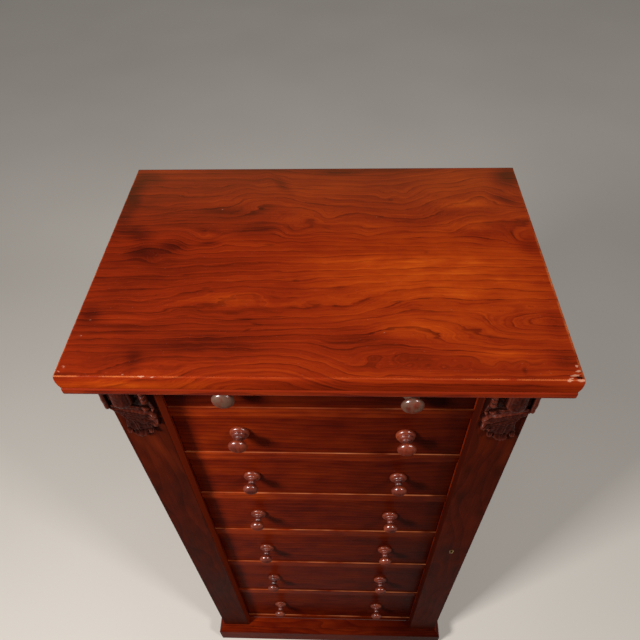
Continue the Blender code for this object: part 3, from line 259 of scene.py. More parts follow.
# Darker and brighter parts of the top, as (x, y, half length, half width, tilt, change of tone). Places are
# in mm from the middle of the top, tilts in degrees. The parts near y = -220 lie on the front edge and are
# painted light and shade: lit at its left end, shaded towards the right.
TOP_DARKER_TONE_AND_PAINTED_SHADE = (
    (-292, 120, 26, 110, 0, 0.34), (-275, 178, 40, 30, 0, 0.35), (-262, 48, 40, 24, -20, 0.36),
    (-246, 6, 34, 28, 10, 0.30), (-205, 18, 36, 28, 30, 0.26), (-92, 58, 56, 26, 10, 0.30),
    (-130, 95, 70, 20, -5, 0.24), (-158, 52, 32, 9, -10, 0.35), (-156, 25, 26, 8, 8, 0.30),
    (284, 182, 36, 50, -15, 0.48), (270, 124, 36, 14, -38, 0.34), (26, 194, 58, 11, 0, 0.30),
    (-62, 162, 46, 14, -58, 0.24), (0, 207, 320, 22, 0, 0.30), (286, 18, 26, 26, 0, 0.24),
    (286, -120, 22, 44, 0, 0.18), (284, -176, 30, 30, 0, 0.24), (293.5, -202.2, 7, 1.7, 0, 1.60),
    (-212, -182, 14, 28, 8, 0.20), (-285, -110, 24, 26, 0, 0.25), (-60, -20, 150, 16, 0, 0.18),
    (-130, -160, 150, 26, 0, 0.18), (60, -150, 90, 18, 0, 0.15), (-270, -20, 270, 330, 0, 0.22),
    (0, -160, 240, 80, 0, 0.08), (70, -219, 230, 15, 0, 0.26), (240, -219, 90, 15, 0, 0.12),
    (-190, 150, 170, 90, 0, 0.10), (-185, -150, 160, 75, 0, 0.12),
)
TOP_BRIGHTER_TONE_AND_PAINTED_LIGHT = (
    (150, -40, 230, 120, 0, 0.30), (205, 66, 70, 26, 8, 0.28), (214, 112, 52, 18, 10, 0.28),
    (-110, -86, 80, 22, 0, 0.24), (-235, -118, 56, 13, 0, 0.22), (120, -132, 70, 34, 0, 0.20),
    (216, -170, 40, 11, 0, 0.22), (-170, 118, 110, 15, 6, 0.14), (-20, 150, 90, 26, 0, 0.12),
    (40, -15, 230, 12, 2, 0.14), (-220, -220, 150, 15, 0, 0.40), (215, 150, 130, 85, 0, 0.13),
)

# Painted light on the stiles, as (across, up, half width, half length, tilt, strength), in mm in the frame
# of the whole chest
STILE_PAINTED_LIGHT_PARTS = (
    (-232, 990, 16, 60, 8, 0.60), (-246, 965, 10, 70, 4, 0.35), (-220, 940, 12, 50, 0, 0.25),
    (-256, 1010, 10, 40, 0, 0.35), (262, 985, 10, 70, 0, 0.35), (228, 1000, 18, 40, 0, 0.20),
)

# Short dark flecks and pin knots of the top, as (x, y, half length, half width, tilt, strength)
TOP_FLECKS = (
    (-88, -117, 22, 2.6, 0, 1.0), (-130, -114, 36, 2.0, -2, 0.7), (-168, -112, 16, 2.2, 4, 0.8),
    (-50, -113, 22, 2.2, 2, 0.9), (-146, -63, 11, 2.2, 6, 0.9), (-138, -69, 8, 2.2, 0, 0.8),
    (-200, -58, 11, 2.0, 0, 0.7), (-74, -125, 12, 3.0, -12, 0.8), (-84, -135, 10, 3.0, 28, 0.8),
    (-30, -49, 9, 3.6, 0, 0.9), (-52, -45, 14, 1.8, -4, 0.7), (100, -86, 13, 2.2, 10, 0.8),
    (-33, -80, 13, 2.2, 0, 0.7), (22, -94, 6, 4.0, 0, 0.6), (30, -154, 44, 2.2, 1, 0.8),
    (-90, 103, 7, 6.0, 0, 1.0), (102, 124, 7, 5.0, 0, 0.9), (235, -193, 5, 8.0, 0, 0.9),
    (128, -186, 6, 3.0, 0, 0.7), (144, 6, 5, 5.0, 0, 0.5), (-70, 22, 14, 4.0, -4, 0.6),
    (-228, -65, 9, 3.0, 0, 0.6), (8, 58, 14, 4.0, -30, 0.5), (-240, -108, 30, 2.0, -2, 0.6),
)

# Chips in the top's polish, down to pale wood, as (x, y, half length, half width, tilt, depth), all but the
# tilt in mm. They fade out over a few mm down the edge, and the arris between them wavers a little.
TOP_CHIPS = (
    (294, -186, 2.9, 3.2, 0, 0.6), (294, -193, 6.0, 2.3, 14, 0.7), (289, -199, 9.5, 2.4, 7, 0.8),
    (284.5, -203, 4.5, 1.1, 10, 0.5), (294.5, -205.2, 8.5, 2.2, 0, 1.1), (282, -205.2, 5.6, 2.3, 0, 0.9),
    (-291, -192, 5.0, 3.2, -20, 0.15), (-294, -199, 4.5, 1.4, -30, 0.3), (-219, -202.5, 3.4, 1.8, 0, 0.2),
    (-197, -205, 7.0, 1.8, 0, 0.5), (-183, -205.4, 8.0, 1.1, 0, 0.22), (-207, -205.4, 4.0, 1.2, 0, 0.16),
    (-240, -205.4, 3.0, 0.9, 0, 0.16), (-285, -145, 4.0, 2.4, 0, 0.1), (-281, -119, 5.0, 1.6, 0, 0.1),
    (-147, 102, 2.6, 1.6, -20, 0.1), (80, 83, 1.6, 1.6, 0, 0.1), (81, -138, 2.2, 1.6, 0, 0.1),
)
CHIP_DROP = 4.0
ARRIS_WAVER = 0.12

# Waves of the arris, as (size in metres, layer of the noise)
ARRIS_WAVES = ((0.012, 0), (0.003, 7))

# Wear of the arris and its painted highlight, as (place in mm, share): along the front, and along the right
# end
ARRIS_WEAR_AND_HIGHLIGHT_FRONT = ((-300, 1.0), (-190, 1.0), (-130, 0.2), (150, 0.25), (200, 0.8), (300, 0.9))
ARRIS_WEAR_AND_HIGHLIGHT_RIGHT = ((-205, 0.45), (-120, 0.9), (10, 0.9), (90, 0.2), (207, 0.0))

# Tongues of a corbel's scroll: middle, half width, how far out, where the nose ends, its length and the bead
# spacing, all in mm. Across counts from the corbel's middle towards the drawers, down from its head.
CORBEL_TONGUES = (
    (-26.4, 3.6, 16.6, 53, 7, 0),
    (-2.8, 12.6, 23.4, 44, 12, 0),
    (24.8, 4.6, 20.0, 38, 5, 9.0),
)
# Lobes of its leaf: root, tip, half width, how far out at the root and at the tip, rise, bow
CORBEL_LOBES = (
    ((-22, 46), (24, 59), 5.0, 12.0, 8.0, 2.2, 0.0),
    ((27, 38), (27, 64), 3.6, 8.0, 6.0, 2.4, 0.0),
    ((-26, 57), (31, 79), 8.5, 9.0, 6.8, 3.0, -1.5),
    ((-22, 68), (30, 98), 11.0, 5.5, 5.2, 3.0, -2.5),
    ((-6, 70), (-4, 132), 17.0, 4.4, 2.0, 3.2, 1.0),
    ((-13, 74), (-18, 122), 7.0, 4.6, 3.2, 2.4, 0.0),
    ((6, 80), (13, 122), 7.5, 4.6, 3.0, 2.4, 0.0),
)
# How wide a lobe is from root to tip, as (share of its length, share of its half width)
LOBE_WIDTHS = ((-0.12, 0.3), (0.0, 0.7), (0.2, 0.95), (0.6, 1.0), (0.85, 0.72), (0.95, 0.42), (1.0, 0.05))

# The ground behind them, as (down, how far out), and the corbel's edges, as (down, across)
CORBEL_FLOOR = (
    (0, 11.0), (6, 12.0), (34, 12.4), (44, 11.0), (52, 8.0), (60, 4.0), (70, 1.8), (100, 1.4), (134, 1.0),
)
CORBEL_OUTER_EDGE = (
    (0, -30), (51, -30), (56, -27), (61, -23.5), (68, -21), (76, -18.5), (84, -17), (90, -16.5),
    (96, -18.5), (104, -19), (109, -21), (116, -22), (121, -21), (124, -17), (127, -15), (130, -12),
    (133, -7), (134, -5),
)
CORBEL_INNER_EDGE = (
    (0, 30), (62, 30), (66, 28.5), (71, 29.5), (80, 30), (84, 29), (87, 26), (91, 28), (96, 29.5), (99, 28),
    (102, 22), (105, 17.5), (109, 18), (115, 17.5), (119, 15), (122, 11), (125, 10), (129, 7), (133, 2),
    (134, 0),
)
CORBEL_COLUMNS, CORBEL_ROWS = 150, 300

# Turned profiles from the drawer's face out to the crown, as (share of the projection, share of the radius).
# The drawers from the third down have the smaller kind.
SMALL_KNOBS_FROM = 3
KNOB_RINGS = 130
LARGE_KNOB = (
    (0.00, 0.93), (0.02, 0.97), (0.055, 1.00), (0.10, 1.00), (0.14, 0.97), (0.17, 0.92), (0.195, 0.84),
    (0.21, 0.75), (0.23, 0.71), (0.26, 0.73), (0.29, 0.72), (0.32, 0.66), (0.345, 0.57), (0.37, 0.47),
    (0.40, 0.40), (0.46, 0.38), (0.53, 0.39), (0.56, 0.50), (0.60, 0.69), (0.65, 0.84), (0.71, 0.95),
    (0.775, 1.00), (0.84, 0.955), (0.90, 0.83), (0.95, 0.62), (0.985, 0.36), (1.00, 0.00),
)
SMALL_KNOB = (
    (0.00, 0.93), (0.02, 0.97), (0.055, 1.00), (0.095, 1.00), (0.13, 0.96), (0.16, 0.88), (0.18, 0.77),
    (0.20, 0.66), (0.23, 0.62), (0.26, 0.52), (0.29, 0.42), (0.36, 0.41), (0.44, 0.43), (0.52, 0.41),
    (0.56, 0.44), (0.58, 0.60), (0.61, 0.74), (0.66, 0.87), (0.71, 0.96), (0.775, 1.00), (0.84, 0.955),
    (0.90, 0.83), (0.95, 0.62), (0.985, 0.36), (1.00, 0.00),
)

# Across one growth ring: its tone, and the strength of its dark line
RING_CURVES = {
    "Tone": ((0.0, 0.45), (0.06, 0.9), (0.45, 0.62), (0.85, 0.30), (0.95, 0.10), (1.0, 0.45)),
    "Line": ((0.0, 0.30), (0.05, 0.0), (0.70, 0.0), (0.87, 0.25), (0.95, 1.0), (1.0, 0.30)),
}

# The top's tone before its grain is laid over it
TOP_TONE = 0.19

# Where tones change, in mm in the frame of the whole chest: the fronts' painted shade deepening towards the
# right, painted shadow on the fronts and painted sheen on the knobs between drawer 2 and drawer 1, and the
# ledges' painted highlight, weaker towards the top
FRONT_SHADE_ACROSS = (-190, 215)
UNDER_TOP = (1052, 1066)
LEDGE_HIGHLIGHT_FADES = (1000, 1050)

# Knots in raw wood to a mm, along and across its grain
KNOTS_PER_MM = (1 / 260, 1 / 120, 1 / 120)

# How strongly the floor glows where it is looked at
FLOOR_GLOW = 0.22

# Finishes, as sRGB
TOP_TONES = ("#2B0D06", "#561507", "#86250A", "#A83A0C", "#C65312")
FRONT_TONES = ("#1B0503", "#3C0B04", "#5D1405", "#7A2207", "#94320A")
UPRIGHT_TONES = ("#130503", "#280A04", "#380F05", "#491406", "#591C08")
RAIL_TONES = ("#260A04", "#501206", "#782008", "#99330B", "#B4460F")
MOULDING_TONES = ("#200804", "#430E04", "#661806", "#872A09", "#A43C0C")
CARVED_TONES = ("#0F0403", "#200A06", "#34110A", "#4C1C10", "#683124")
KNOB_TONES = ("#1E0A08", "#451810", "#6E2917", "#93401F", "#B4592C")
# Painted sheen on the knobs under the top
KNOB_PAINTED_SHEEN = "#5C4335"
LINING_TONES = ("#5E3C22", "#7C5331", "#946841", "#AB7F54", "#C0976B")
PINE_TONES = ("#4A2F1B", "#6F4A2B", "#8A6240", "#A27A52", "#B88F65")
BARE_WOOD = "#C48B6E"
# Wear of the top's arris and its painted highlight
WORN_EDGE_AND_HIGHLIGHT = "#CF6F35"
# Painted highlight on the ledges
LEDGE_PAINTED_HIGHLIGHT = "#A8623C"
# Painted highlight on the moulding's upper edge
MOULDING_PAINTED_HIGHLIGHT = "#7C230C"
MOULDING_KNOCKS = "#9A7060"
# Stiles: edge grain of the inner sides with painted light on the left and painted shade on the right, and
# painted light on their faces
STILE_SIDE_GRAIN_LIT = "#8E3016"
STILE_SIDE_GRAIN_SHADED = "#380F07"
STILE_PAINTED_LIGHT = "#66220B"
# Painted shade on the fronts
FRONT_PAINTED_SHADE = "#120302"
LINE_COLOUR = "#2A0A05"
# Paler and greyer towards the back of the top
PALER_TOWARDS_BACK = "#785733"
DUST = "#8B7463"
BRASS = "#A07B3C"
BRASS_TARNISH = "#3C2A17"
IRON = "#4A413B"
IRON_RUST = "#4A2A1A"
FLOOR_COLOUR = "#CFC8BF"
FLOOR_SHADE = "#C9C2B9"
FLOOR_BOUNCE = "#4A3F36"


def linear(colour):
    """An sRGB hex colour as linear RGBA."""
    channels = [int(colour[i:i + 2], 16) / 255 for i in (1, 3, 5)]
    turned = [c / 12.92 if c <= 0.04045 else ((c + 0.055) / 1.055) ** 2.4 for c in channels]
    return (*turned, 1.0)


def add(tree, kind, inputs=None, **settings):
    """Adds a node, sets its properties, then sets or links its inputs by name or number."""
    made = tree.nodes.new(kind)
    for name, value in settings.items():
        setattr(made, name, value)
    for key, value in (inputs or {}).items():
        if isinstance(value, bpy.types.Node):
            value = value.outputs[0]
        if isinstance(value, bpy.types.NodeSocket):
            tree.links.new(value, made.inputs[key])
        else:
            made.inputs[key].default_value = value
    return made


def set_stops(ramp, colours):
    """Gives a colour ramp its colours, evenly spaced."""
    elements = ramp.color_ramp.elements
    while len(elements) < len(colours):
        elements.new(1.0)
    for i, colour in enumerate(colours):
        elements[i].position = i / (len(colours) - 1)
        elements[i].color = linear(colour)
    return ramp


def set_curve(node, points):
    """Gives a float curve its points."""
    curve = node.mapping.curves[0]
    while len(curve.points) < len(points):
        curve.points.new(0.5, 0.5)
    for point, place in zip(curve.points, points):
        point.location = place
        point.handle_type = "AUTO"
    node.mapping.update()
    return node


def weighed(node, **weights):
    """Some outputs of a node with their weights, as weighted_sum takes them."""
    return [(node.outputs[name], weight) for name, weight in weights.items()]


def weighted_sum(tree, base, parts):
    """A number plus each pattern times its weight."""
    total = base
    for pattern, weight in parts:
        total = add(tree, "ShaderNodeMath", {0: pattern, 1: weight, 2: total}, operation="MULTIPLY_ADD")
    return total


def layered(tree, colour, layers):
    """A colour with others laid over it in turn, each as far as its share says."""
    for share, over in layers:
        mixed = add(tree, "ShaderNodeMix", {0: share, 6: colour, 7: linear(over)}, data_type="RGBA")
        colour = mixed.outputs[2]
    return colour


def between(tree, value, low, high, soft):
    """1 where a number lies between two others, falling softly to 0 beyond them."""
    above = add(tree, "ShaderNodeMapRange", {"Value": value, 1: low - soft, 2: low + soft})
    below = add(tree, "ShaderNodeMapRange", {"Value": value, 1: high + soft, 2: high - soft})
    return add(tree, "ShaderNodeMath", {0: above, 1: below}, operation="MULTIPLY")


def soft_spots(tree, place, spots):
    """The sum of smooth bumps at given places, each (x, y, half length, half width, tilt, height)."""
    total = 0.0
    for x, y, along, across, tilt, height in spots:
        turned = add(
            tree, "ShaderNodeMapping",
            {"Vector": place, "Location": (x, y, 0), "Rotation": (0, 0, math.radians(tilt)),
             "Scale": (along, across, 1)},
            vector_type="TEXTURE",
        )
        away = add(tree, "ShaderNodeVectorMath", {0: turned}, operation="LENGTH")
        bump = add(
            tree, "ShaderNodeMapRange", {"Value": away.outputs["Value"], 3: 1.0, 4: 0.0},
            interpolation_type="SMOOTHERSTEP",
        )
        total = weighted_sum(tree, total, [(bump, height)])
    return total


def place_in_mm(tree, grain):
    """The object's own coordinates in mm, turned so that the grain runs along X."""
    own = add(tree, "ShaderNodeTexCoord")
    split = add(tree, "ShaderNodeSeparateXYZ", {0: own.outputs["Object"]})
    order = {"X": "XYZ", "Y": "YXZ", "Z": "ZXY"}[grain]
    joined = add(tree, "ShaderNodeCombineXYZ", {i: split.outputs[axis] for i, axis in enumerate(order)})
    return add(tree, "ShaderNodeVectorMath", {0: joined, "Scale": 1 / MM}, operation="SCALE")


def own_axes(tree):
    """The object's own X, Y and Z in mm, one by one."""
    return add(tree, "ShaderNodeSeparateXYZ", {0: place_in_mm(tree, "X")})


def facing_axes(tree, normal):
    """How far a face looks along X, Y and Z, by its smoothed Normal or its flat True Normal."""
    geometry = add(tree, "ShaderNodeNewGeometry")
    return add(tree, "ShaderNodeSeparateXYZ", {0: geometry.outputs[normal]})


def stretched_noise(tree, place, size, detail, low, high):
    """Noise whose grains have the given size in mm, with its range from low to high spread over 0 to 1."""
    share = add(tree, "ShaderNodeVectorMath", {0: place, 1: [1 / s for s in size]}, operation="MULTIPLY")
    grains = add(tree, "ShaderNodeTexNoise", {"Vector": share, "Scale": 1.0, "Detail": detail})
    return add(tree, "ShaderNodeMapRange", {"Value": grains, 1: low, 2: high})


def new_group(name, label, kind, outputs):
    """An empty shader node group with one input and named outputs, and the two nodes at its ends."""
    tree = bpy.data.node_groups.new(name, "ShaderNodeTree")
    tree.interface.new_socket(label, in_out="INPUT", socket_type=kind)
    for output in outputs:
        tree.interface.new_socket(output, in_out="OUTPUT", socket_type="NodeSocketFloat")
    return tree, tree.nodes.new("NodeGroupInput"), tree.nodes.new("NodeGroupOutput")


@functools.cache
def fibres_group():
    """Fibres, pores, flecks and clouds of a board with its grain along X.

    Real pores of mahogany are 0.2 mm wide, too fine to show, so they are drawn 0.6 mm wide.
    """
    grains = {
        "Streaks": ((150, 3.0, 3.0), 3.0, 0.30, 0.70),
        "Fibres": ((45, 0.9, 0.9), 2.0, 0.30, 0.70),
        "Pores": ((8, 0.6, 0.6), 0.0, 0.62, 0.74),
        "Flecks": ((16, 1.6, 1.6), 1.0, 0.66, 0.76),
        "Clouds": ((150, 55, 55), 3.0, 0.28, 0.72),
        "Patches": ((48, 20, 20), 3.0, 0.30, 0.70),
    }
    tree, start, end = new_group("Mahogany fibres", "Place", "NodeSocketVector", grains)
    for label, grain in grains.items():
        pattern = stretched_noise(tree, start.outputs["Place"], *grain)
        tree.links.new(pattern.outputs[0], end.inputs[label])
    return tree


@functools.cache
def rings_group():
    """The tone across growth rings: a slow rise to the late wood, which ends in a thin dark line."""
    tree, start, end = new_group("Growth rings", "Rings", "NodeSocketFloat", ["Tone", "Line"])
    share = add(tree, "ShaderNodeMath", {0: start.outputs["Rings"]}, operation="FRACT")
    for label, points in RING_CURVES.items():
        curve = set_curve(add(tree, "ShaderNodeFloatCurve", {"Value": share}), points)
        tree.links.new(curve.outputs[0], end.inputs[label])
    return tree


def wandering_rings(tree, place, spacing, wander):
    """Growth rings of a plain-sawn board: lines along the grain that wander into arches and loops."""
    split = add(tree, "ShaderNodeSeparateXYZ", {0: place})
    slow = stretched_noise(tree, place, (260, 60, 120), 1.0, 0.0, 1.0)
    quick = stretched_noise(tree, place, (60, 16, 30), 2.0, 0.0, 1.0)
    field = weighted_sum(tree, split.outputs["Z"], [*weighed(split, Y=0.55), (slow, wander), (quick, 5.0)])
    field = add(tree, "ShaderNodeMath", {0: field, 1: spacing}, operation="DIVIDE")
    return add(tree, "ShaderNodeGroup", {"Rings": field}, node_tree=rings_group())


def new_material(name):
    """An empty material and its node tree."""
    made = bpy.data.materials.new(name)
    made.use_nodes = True
    made.node_tree.nodes.clear()
    return made, made.node_tree


def new_wood(name, grain):
    """An empty material for wood: its tree, places in mm with the grain along X, and the fibres there."""
    made, tree = new_material(name)
    place = place_in_mm(tree, grain)
    return made, tree, place, add(tree, "ShaderNodeGroup", {"Place": place}, node_tree=fibres_group())


def close_material(made, shader_inputs, relief=(), strength=0.0, depth=0.0):
    """Ends a material in one Principled shader, over a fine relief with its depth in mm."""
    tree = made.node_tree
    if relief:
        height = weighted_sum(tree, 0.5, relief)
        shader_inputs["Normal"] = add(tree, "ShaderNodeBump", {
            "Strength": strength, "Distance": depth * MM, "Height": height,
        })
    shader = add(tree, "ShaderNodeBsdfPrincipled", shader_inputs)
    add(tree, "ShaderNodeOutputMaterial", {"Surface": shader})
    return made


def rubbed(tree, wood, share, colour, low, high):
    """Lightens wood in long uneven stretches, where polish and colour are rubbed off and where a highlight
    is painted.
    """
    uneven = stretched_noise(tree, place_in_mm(tree, "X"), (55, 40, 9), 2.0, low, high)
    share = add(tree, "ShaderNodeMath", {0: share, 1: uneven}, operation="MULTIPLY")
    return layered(tree, wood, [(share, colour)])


def fronts_painted_shade(tree, wood):
    """The fronts: painted shade deepening towards the right, and a painted shadow on the drawer under the
    top.
    """
    axes = own_axes(tree)
    left, right = FRONT_SHADE_ACROSS
    below, above = UNDER_TOP
    across = add(tree, "ShaderNodeMapRange", {
        "Value": axes.outputs["X"], 1: left, 2: right, 3: 1.0, 4: 0.24,
    })
    upward = add(tree, "ShaderNodeMapRange", {
        "Value": axes.outputs["Z"], 1: below, 2: above, 3: 1.0, 4: 0.5,
    })
    kept = add(tree, "ShaderNodeMath", {0: across, 1: upward}, operation="MULTIPLY")
    # Painted shade: darker towards the right, and a painted shadow on drawer 1 under the top
    deep = add(tree, "ShaderNodeMix", {0: kept, 6: linear(FRONT_PAINTED_SHADE), 7: wood}, data_type="RGBA")
    return deep.outputs[2]


def ledges_painted_highlight(tree, wood):
    """The drawers' ledges: a painted highlight on the upward-facing strip of their front arrises, weaker
    towards the top, over the fronts' painted shade.
    """
    axes = own_axes(tree)
    front = RAIL_LOW.y / MM
    low, high = LEDGE_HIGHLIGHT_FADES
    strip = between(tree, axes.outputs["Y"], front + 0.9, front + 2.6, 0.3)
    lower = add(tree, "ShaderNodeMapRange", {"Value": axes.outputs["Z"], 1: low, 2: high, 3: 1.0, 4: 0.3})
    facing = facing_axes(tree, "True Normal")
    looks_up = add(tree, "ShaderNodeMapRange", {"Value": facing.outputs["Z"], 1: 0.3, 2: 0.6})
    strip = add(tree, "ShaderNodeMath", {0: strip, 1: lower}, operation="MULTIPLY")
    share = add(tree, "ShaderNodeMath", {0: looks_up, 1: strip}, operation="MULTIPLY")
    # Painted highlight along the upward-facing strip of the ledges, weaker towards the top
    return rubbed(tree, fronts_painted_shade(tree, wood), share, LEDGE_PAINTED_HIGHLIGHT, 0.36, 0.66)


def moulding_highlight_and_knocks(tree, wood):
    """The thin moulding under the top: a painted highlight on its rounded upper edge, and its lower edge
    knocked pale.
    """
    height = own_axes(tree).outputs["Z"]
    head, foot = SUB_TOP_HIGH.z / MM, SUB_TOP_LOW.z / MM
    upper = between(tree, height, head - 2.6, head + 1.0, 0.8)
    lower = between(tree, height, foot - 1.0, foot + 0.7, 0.4)
    # Painted highlight along the rounded upper edge
    wood = rubbed(tree, wood, upper, MOULDING_PAINTED_HIGHLIGHT, 0.10, 0.50)
    return rubbed(tree, wood, lower, MOULDING_KNOCKS, 0.40, 0.70)


def stile_grain_and_painted_light(tree, wood):
    """The stiles: edge grain on their inner sides, with painted light on the redder left one and painted
    shade on the right one, and painted light below the carving.
    """
    facing, axes = facing_axes(tree, "True Normal"), own_axes(tree)
    layers = []
    # Painted light on the left stile's inner side, painted shade on the right one's
    for way, colour in ((1, STILE_SIDE_GRAIN_LIT), (-1, STILE_SIDE_GRAIN_SHADED)):
        inward = add(tree, "ShaderNodeMapRange", {"Value": facing.outputs["X"], 1: 0.4 * way, 2: 0.8 * way})
        beside = add(tree, "ShaderNodeMapRange", {
            "Value": axes.outputs["X"], 1: 10 * way, 2: -10 * way, 4: 0.8,
        })
        side = add(tree, "ShaderNodeMath", {0: inward, 1: beside}, operation="MULTIPLY")
        layers.append((side, colour))
    place = add(tree, "ShaderNodeCombineXYZ", {0: axes.outputs["X"], 1: axes.outputs["Z"]})
    # Painted light in patches on the stiles' faces
    patches = soft_spots(tree, place, STILE_PAINTED_LIGHT_PARTS)
    return layered(tree, wood, [*layers, (patches, STILE_PAINTED_LIGHT)])


def polished_wood(kind, grain, tones, spacing, wander, tone, roughness, level, line_depth, finish):
    """French-polished mahogany: fine fibres and soft growth rings under a thin, even shine.

    finish works over the colour, as where the polish is rubbed, and where light and shade are painted.
    """
    made, tree, place, fibres = new_wood("french_polished_mahogany_" + kind, grain)
    rings = wandering_rings(tree, place, spacing, wander)
    tone = weighted_sum(tree, tone, [
        *weighed(fibres, Clouds=0.24, Streaks=0.11, Fibres=0.10, Patches=0.24), *weighed(rings, Tone=0.20),
    ])
    colour = set_stops(add(tree, "ShaderNodeValToRGB", {0: tone}), tones)
    dark = weighted_sum(tree, 0.0, [
        *weighed(fibres, Pores=0.22, Flecks=0.30), *weighed(rings, Line=line_depth),
    ])
    dark = add(tree, "ShaderNodeMath", {0: dark, 1: fibres.outputs["Patches"]}, operation="MULTIPLY")
    wood = layered(tree, colour, [(dark, LINE_COLOUR)])
    if finish is not None:
        wood = finish(tree, wood)
    shine = weighted_sum(tree, roughness, weighed(fibres, Clouds=0.12))
    return close_material(
        made, {"Base Color": wood, "Roughness": shine, "Specular IOR Level": level},
        weighed(fibres, Pores=-0.6, Fibres=0.25, Flecks=-0.3), 0.25, 0.15,
    )


def figured_top_wood():
    """The top: bold flat-sawn figure, polished above, dull on its edges, with wear and a painted highlight
    along its arris.
    """
    made, tree = new_material("french_polished_figured_mahogany")
    mm = place_in_mm(tree, "X")
    axes = add(tree, "ShaderNodeSeparateXYZ", {0: mm})
    rise = add(tree, "ShaderNodeMath", {0: axes.outputs["Z"], 1: TOP_HIGH.z / MM}, operation="SUBTRACT")
    laid = weighted_sum(tree, axes.outputs["Y"], [(rise, FIGURE_SLANT)])
    place = add(tree, "ShaderNodeCombineXYZ", {0: axes.outputs["X"], 1: laid})
    figure, bold, shade, worn = [
        add(tree, "ShaderNodeAttribute", attribute_name=name).outputs["Fac"]
        for name in ("rings", "bold", "shade", "arris")
    ]

    tremble = stretched_noise(tree, place, (34, 9, 20), 2.0, 0.0, 1.0)
    field = weighted_sum(tree, figure, [(tremble, 0.5)])
    rings = add(tree, "ShaderNodeGroup", {"Rings": field}, node_tree=rings_group())
    fine_field = add(tree, "ShaderNodeMath", {0: field, 1: FINE_RINGS}, operation="MULTIPLY")
    fine_rings = add(tree, "ShaderNodeGroup", {"Rings": fine_field}, node_tree=rings_group())
    field_mm = add(tree, "ShaderNodeMath", {0: field, 1: RING_SPACING}, operation="MULTIPLY")
    bent = add(tree, "ShaderNodeCombineXYZ", {0: axes.outputs["X"], 1: field_mm})
    fibres = add(tree, "ShaderNodeGroup", {"Place": bent}, node_tree=fibres_group())
    straight = add(tree, "ShaderNodeGroup", {"Place": place}, node_tree=fibres_group())

    patchy = add(tree, "ShaderNodeMapRange", {"Value": straight.outputs["Patches"], 3: 0.6, 4: 1.3})
    shade = add(tree, "ShaderNodeMath", {0: shade, 1: patchy}, operation="MULTIPLY")
    # shade carries the top's tone, with painted light and shade on its front edge
    tone = weighted_sum(tree, TOP_TONE, [
        (shade, 0.72), *weighed(straight, Clouds=0.16, Streaks=0.08, Patches=0.06),
        *weighed(fibres, Streaks=0.13, Fibres=0.08), *weighed(rings, Tone=0.12),
        *weighed(fine_rings, Tone=0.05),
    ])
    colour = set_stops(add(tree, "ShaderNodeValToRGB", {0: tone}), TOP_TONES)

    uneven = stretched_noise(tree, place, (40, 16, 30), 1.0, 0.35, 0.62)
    strength = add(tree, "ShaderNodeMath", {0: bold, 1: uneven}, operation="MULTIPLY")
    lines = weighted_sum(tree, 0.0, [*weighed(rings, Line=0.60), *weighed(fine_rings, Line=0.14)])
    lines = add(tree, "ShaderNodeMath", {0: lines, 1: strength}, operation="MULTIPLY")
    flecks = soft_spots(tree, place, TOP_FLECKS)
    ragged = add(tree, "ShaderNodeMapRange", {"Value": fibres.outputs["Fibres"], 3: 0.5, 4: 1.3})
    flecks = add(tree, "ShaderNodeMath", {0: flecks, 1: ragged}, operation="MULTIPLY")
    dark = weighted_sum(tree, lines, [(flecks, 0.60), *weighed(fibres, Pores=0.12, Flecks=0.16)])
    dark = add(tree, "ShaderNodeClamp", {"Value": dark, "Max": 0.9})
    # Paler and greyer towards the back
    backward = add(tree, "ShaderNodeMapRange", {"Value": axes.outputs["Y"], 1: 30, 2: 205, 4: 0.2})

    scuffed = stretched_noise(tree, mm, (22, 22, 22), 3.0, 0.34, 0.62)
    # Wear and painted highlight along the arris
    worn = add(tree, "ShaderNodeMath", {0: worn, 1: scuffed}, operation="MULTIPLY")

    above = add(tree, "ShaderNodeCombineXYZ", {0: axes.outputs["X"], 1: axes.outputs["Y"]})
    chips = soft_spots(tree, above, [(*spot, min(0.25 + 1.2 * depth, 1.0)) for *spot, depth in TOP_CHIPS])
    ragged = stretched_noise(tree, mm, (2.4, 1.2, 1.2), 2.0, 0.2, 0.8)
    chips = weighted_sum(tree, -0.22, [(chips, 1.0), (ragged, 0.75)])
    chipped = add(tree, "ShaderNodeMapRange", {"Value": chips, 1: 0.42, 2: 0.78, 4: 0.8})
    top_only = add(tree, "ShaderNodeMapRange", {"Value": rise, 1: -3.5, 2: -2.0})
    chipped = add(tree, "ShaderNodeMath", {0: chipped, 1: top_only}, operation="MULTIPLY")
    wood = layered(tree, colour, [
        (dark, LINE_COLOUR), (backward, PALER_TOWARDS_BACK), (worn, WORN_EDGE_AND_HIGHLIGHT), (chipped, BARE_WOOD),
    ])

    shine = weighted_sum(tree, 0.30, [*weighed(straight, Clouds=0.10), (chipped, 0.3), (worn, 0.1)])
    facing = facing_axes(tree, "Normal")
    polish = add(tree, "ShaderNodeMapRange", {"Value": facing.outputs["Z"], 1: 0.2, 2: 0.9, 4: 0.04})
    return close_material(
        made, {"Base Color": wood, "Roughness": shine, "Specular IOR Level": polish},
        weighed(straight, Pores=-0.5, Fibres=0.2), 0.2, 0.15,
    )


def carved_wood():
    """Stained and waxed carving: nearly black in its hollows, with wax and painted shade there, and rubbed
    brown on its ridges.
    """
    made, tree, _, fibres = new_wood("stained_carved_mahogany", "Z")
    ridge = add(tree, "ShaderNodeAttribute", attribute_name="ridge").outputs["Fac"]
    # ridge darkens the hollows as painted shade and wax, and lightens the ridges
    tone = weighted_sum(tree, 0.0, [
        (ridge, 0.62), *weighed(fibres, Clouds=0.10, Streaks=0.14, Patches=0.12),
    ])
    colour = set_stops(add(tree, "ShaderNodeValToRGB", {0: tone}), CARVED_TONES)
    shine = weighted_sum(tree, 0.70, [(ridge, -0.44)])
    wax = weighted_sum(tree, 0.0, [(ridge, 0.05)])
    return close_material(
        made, {"Base Color": colour, "Roughness": shine, "Specular IOR Level": wax},
        weighed(fibres, Pores=-0.4, Fibres=0.4), 0.35, 0.2,
    )


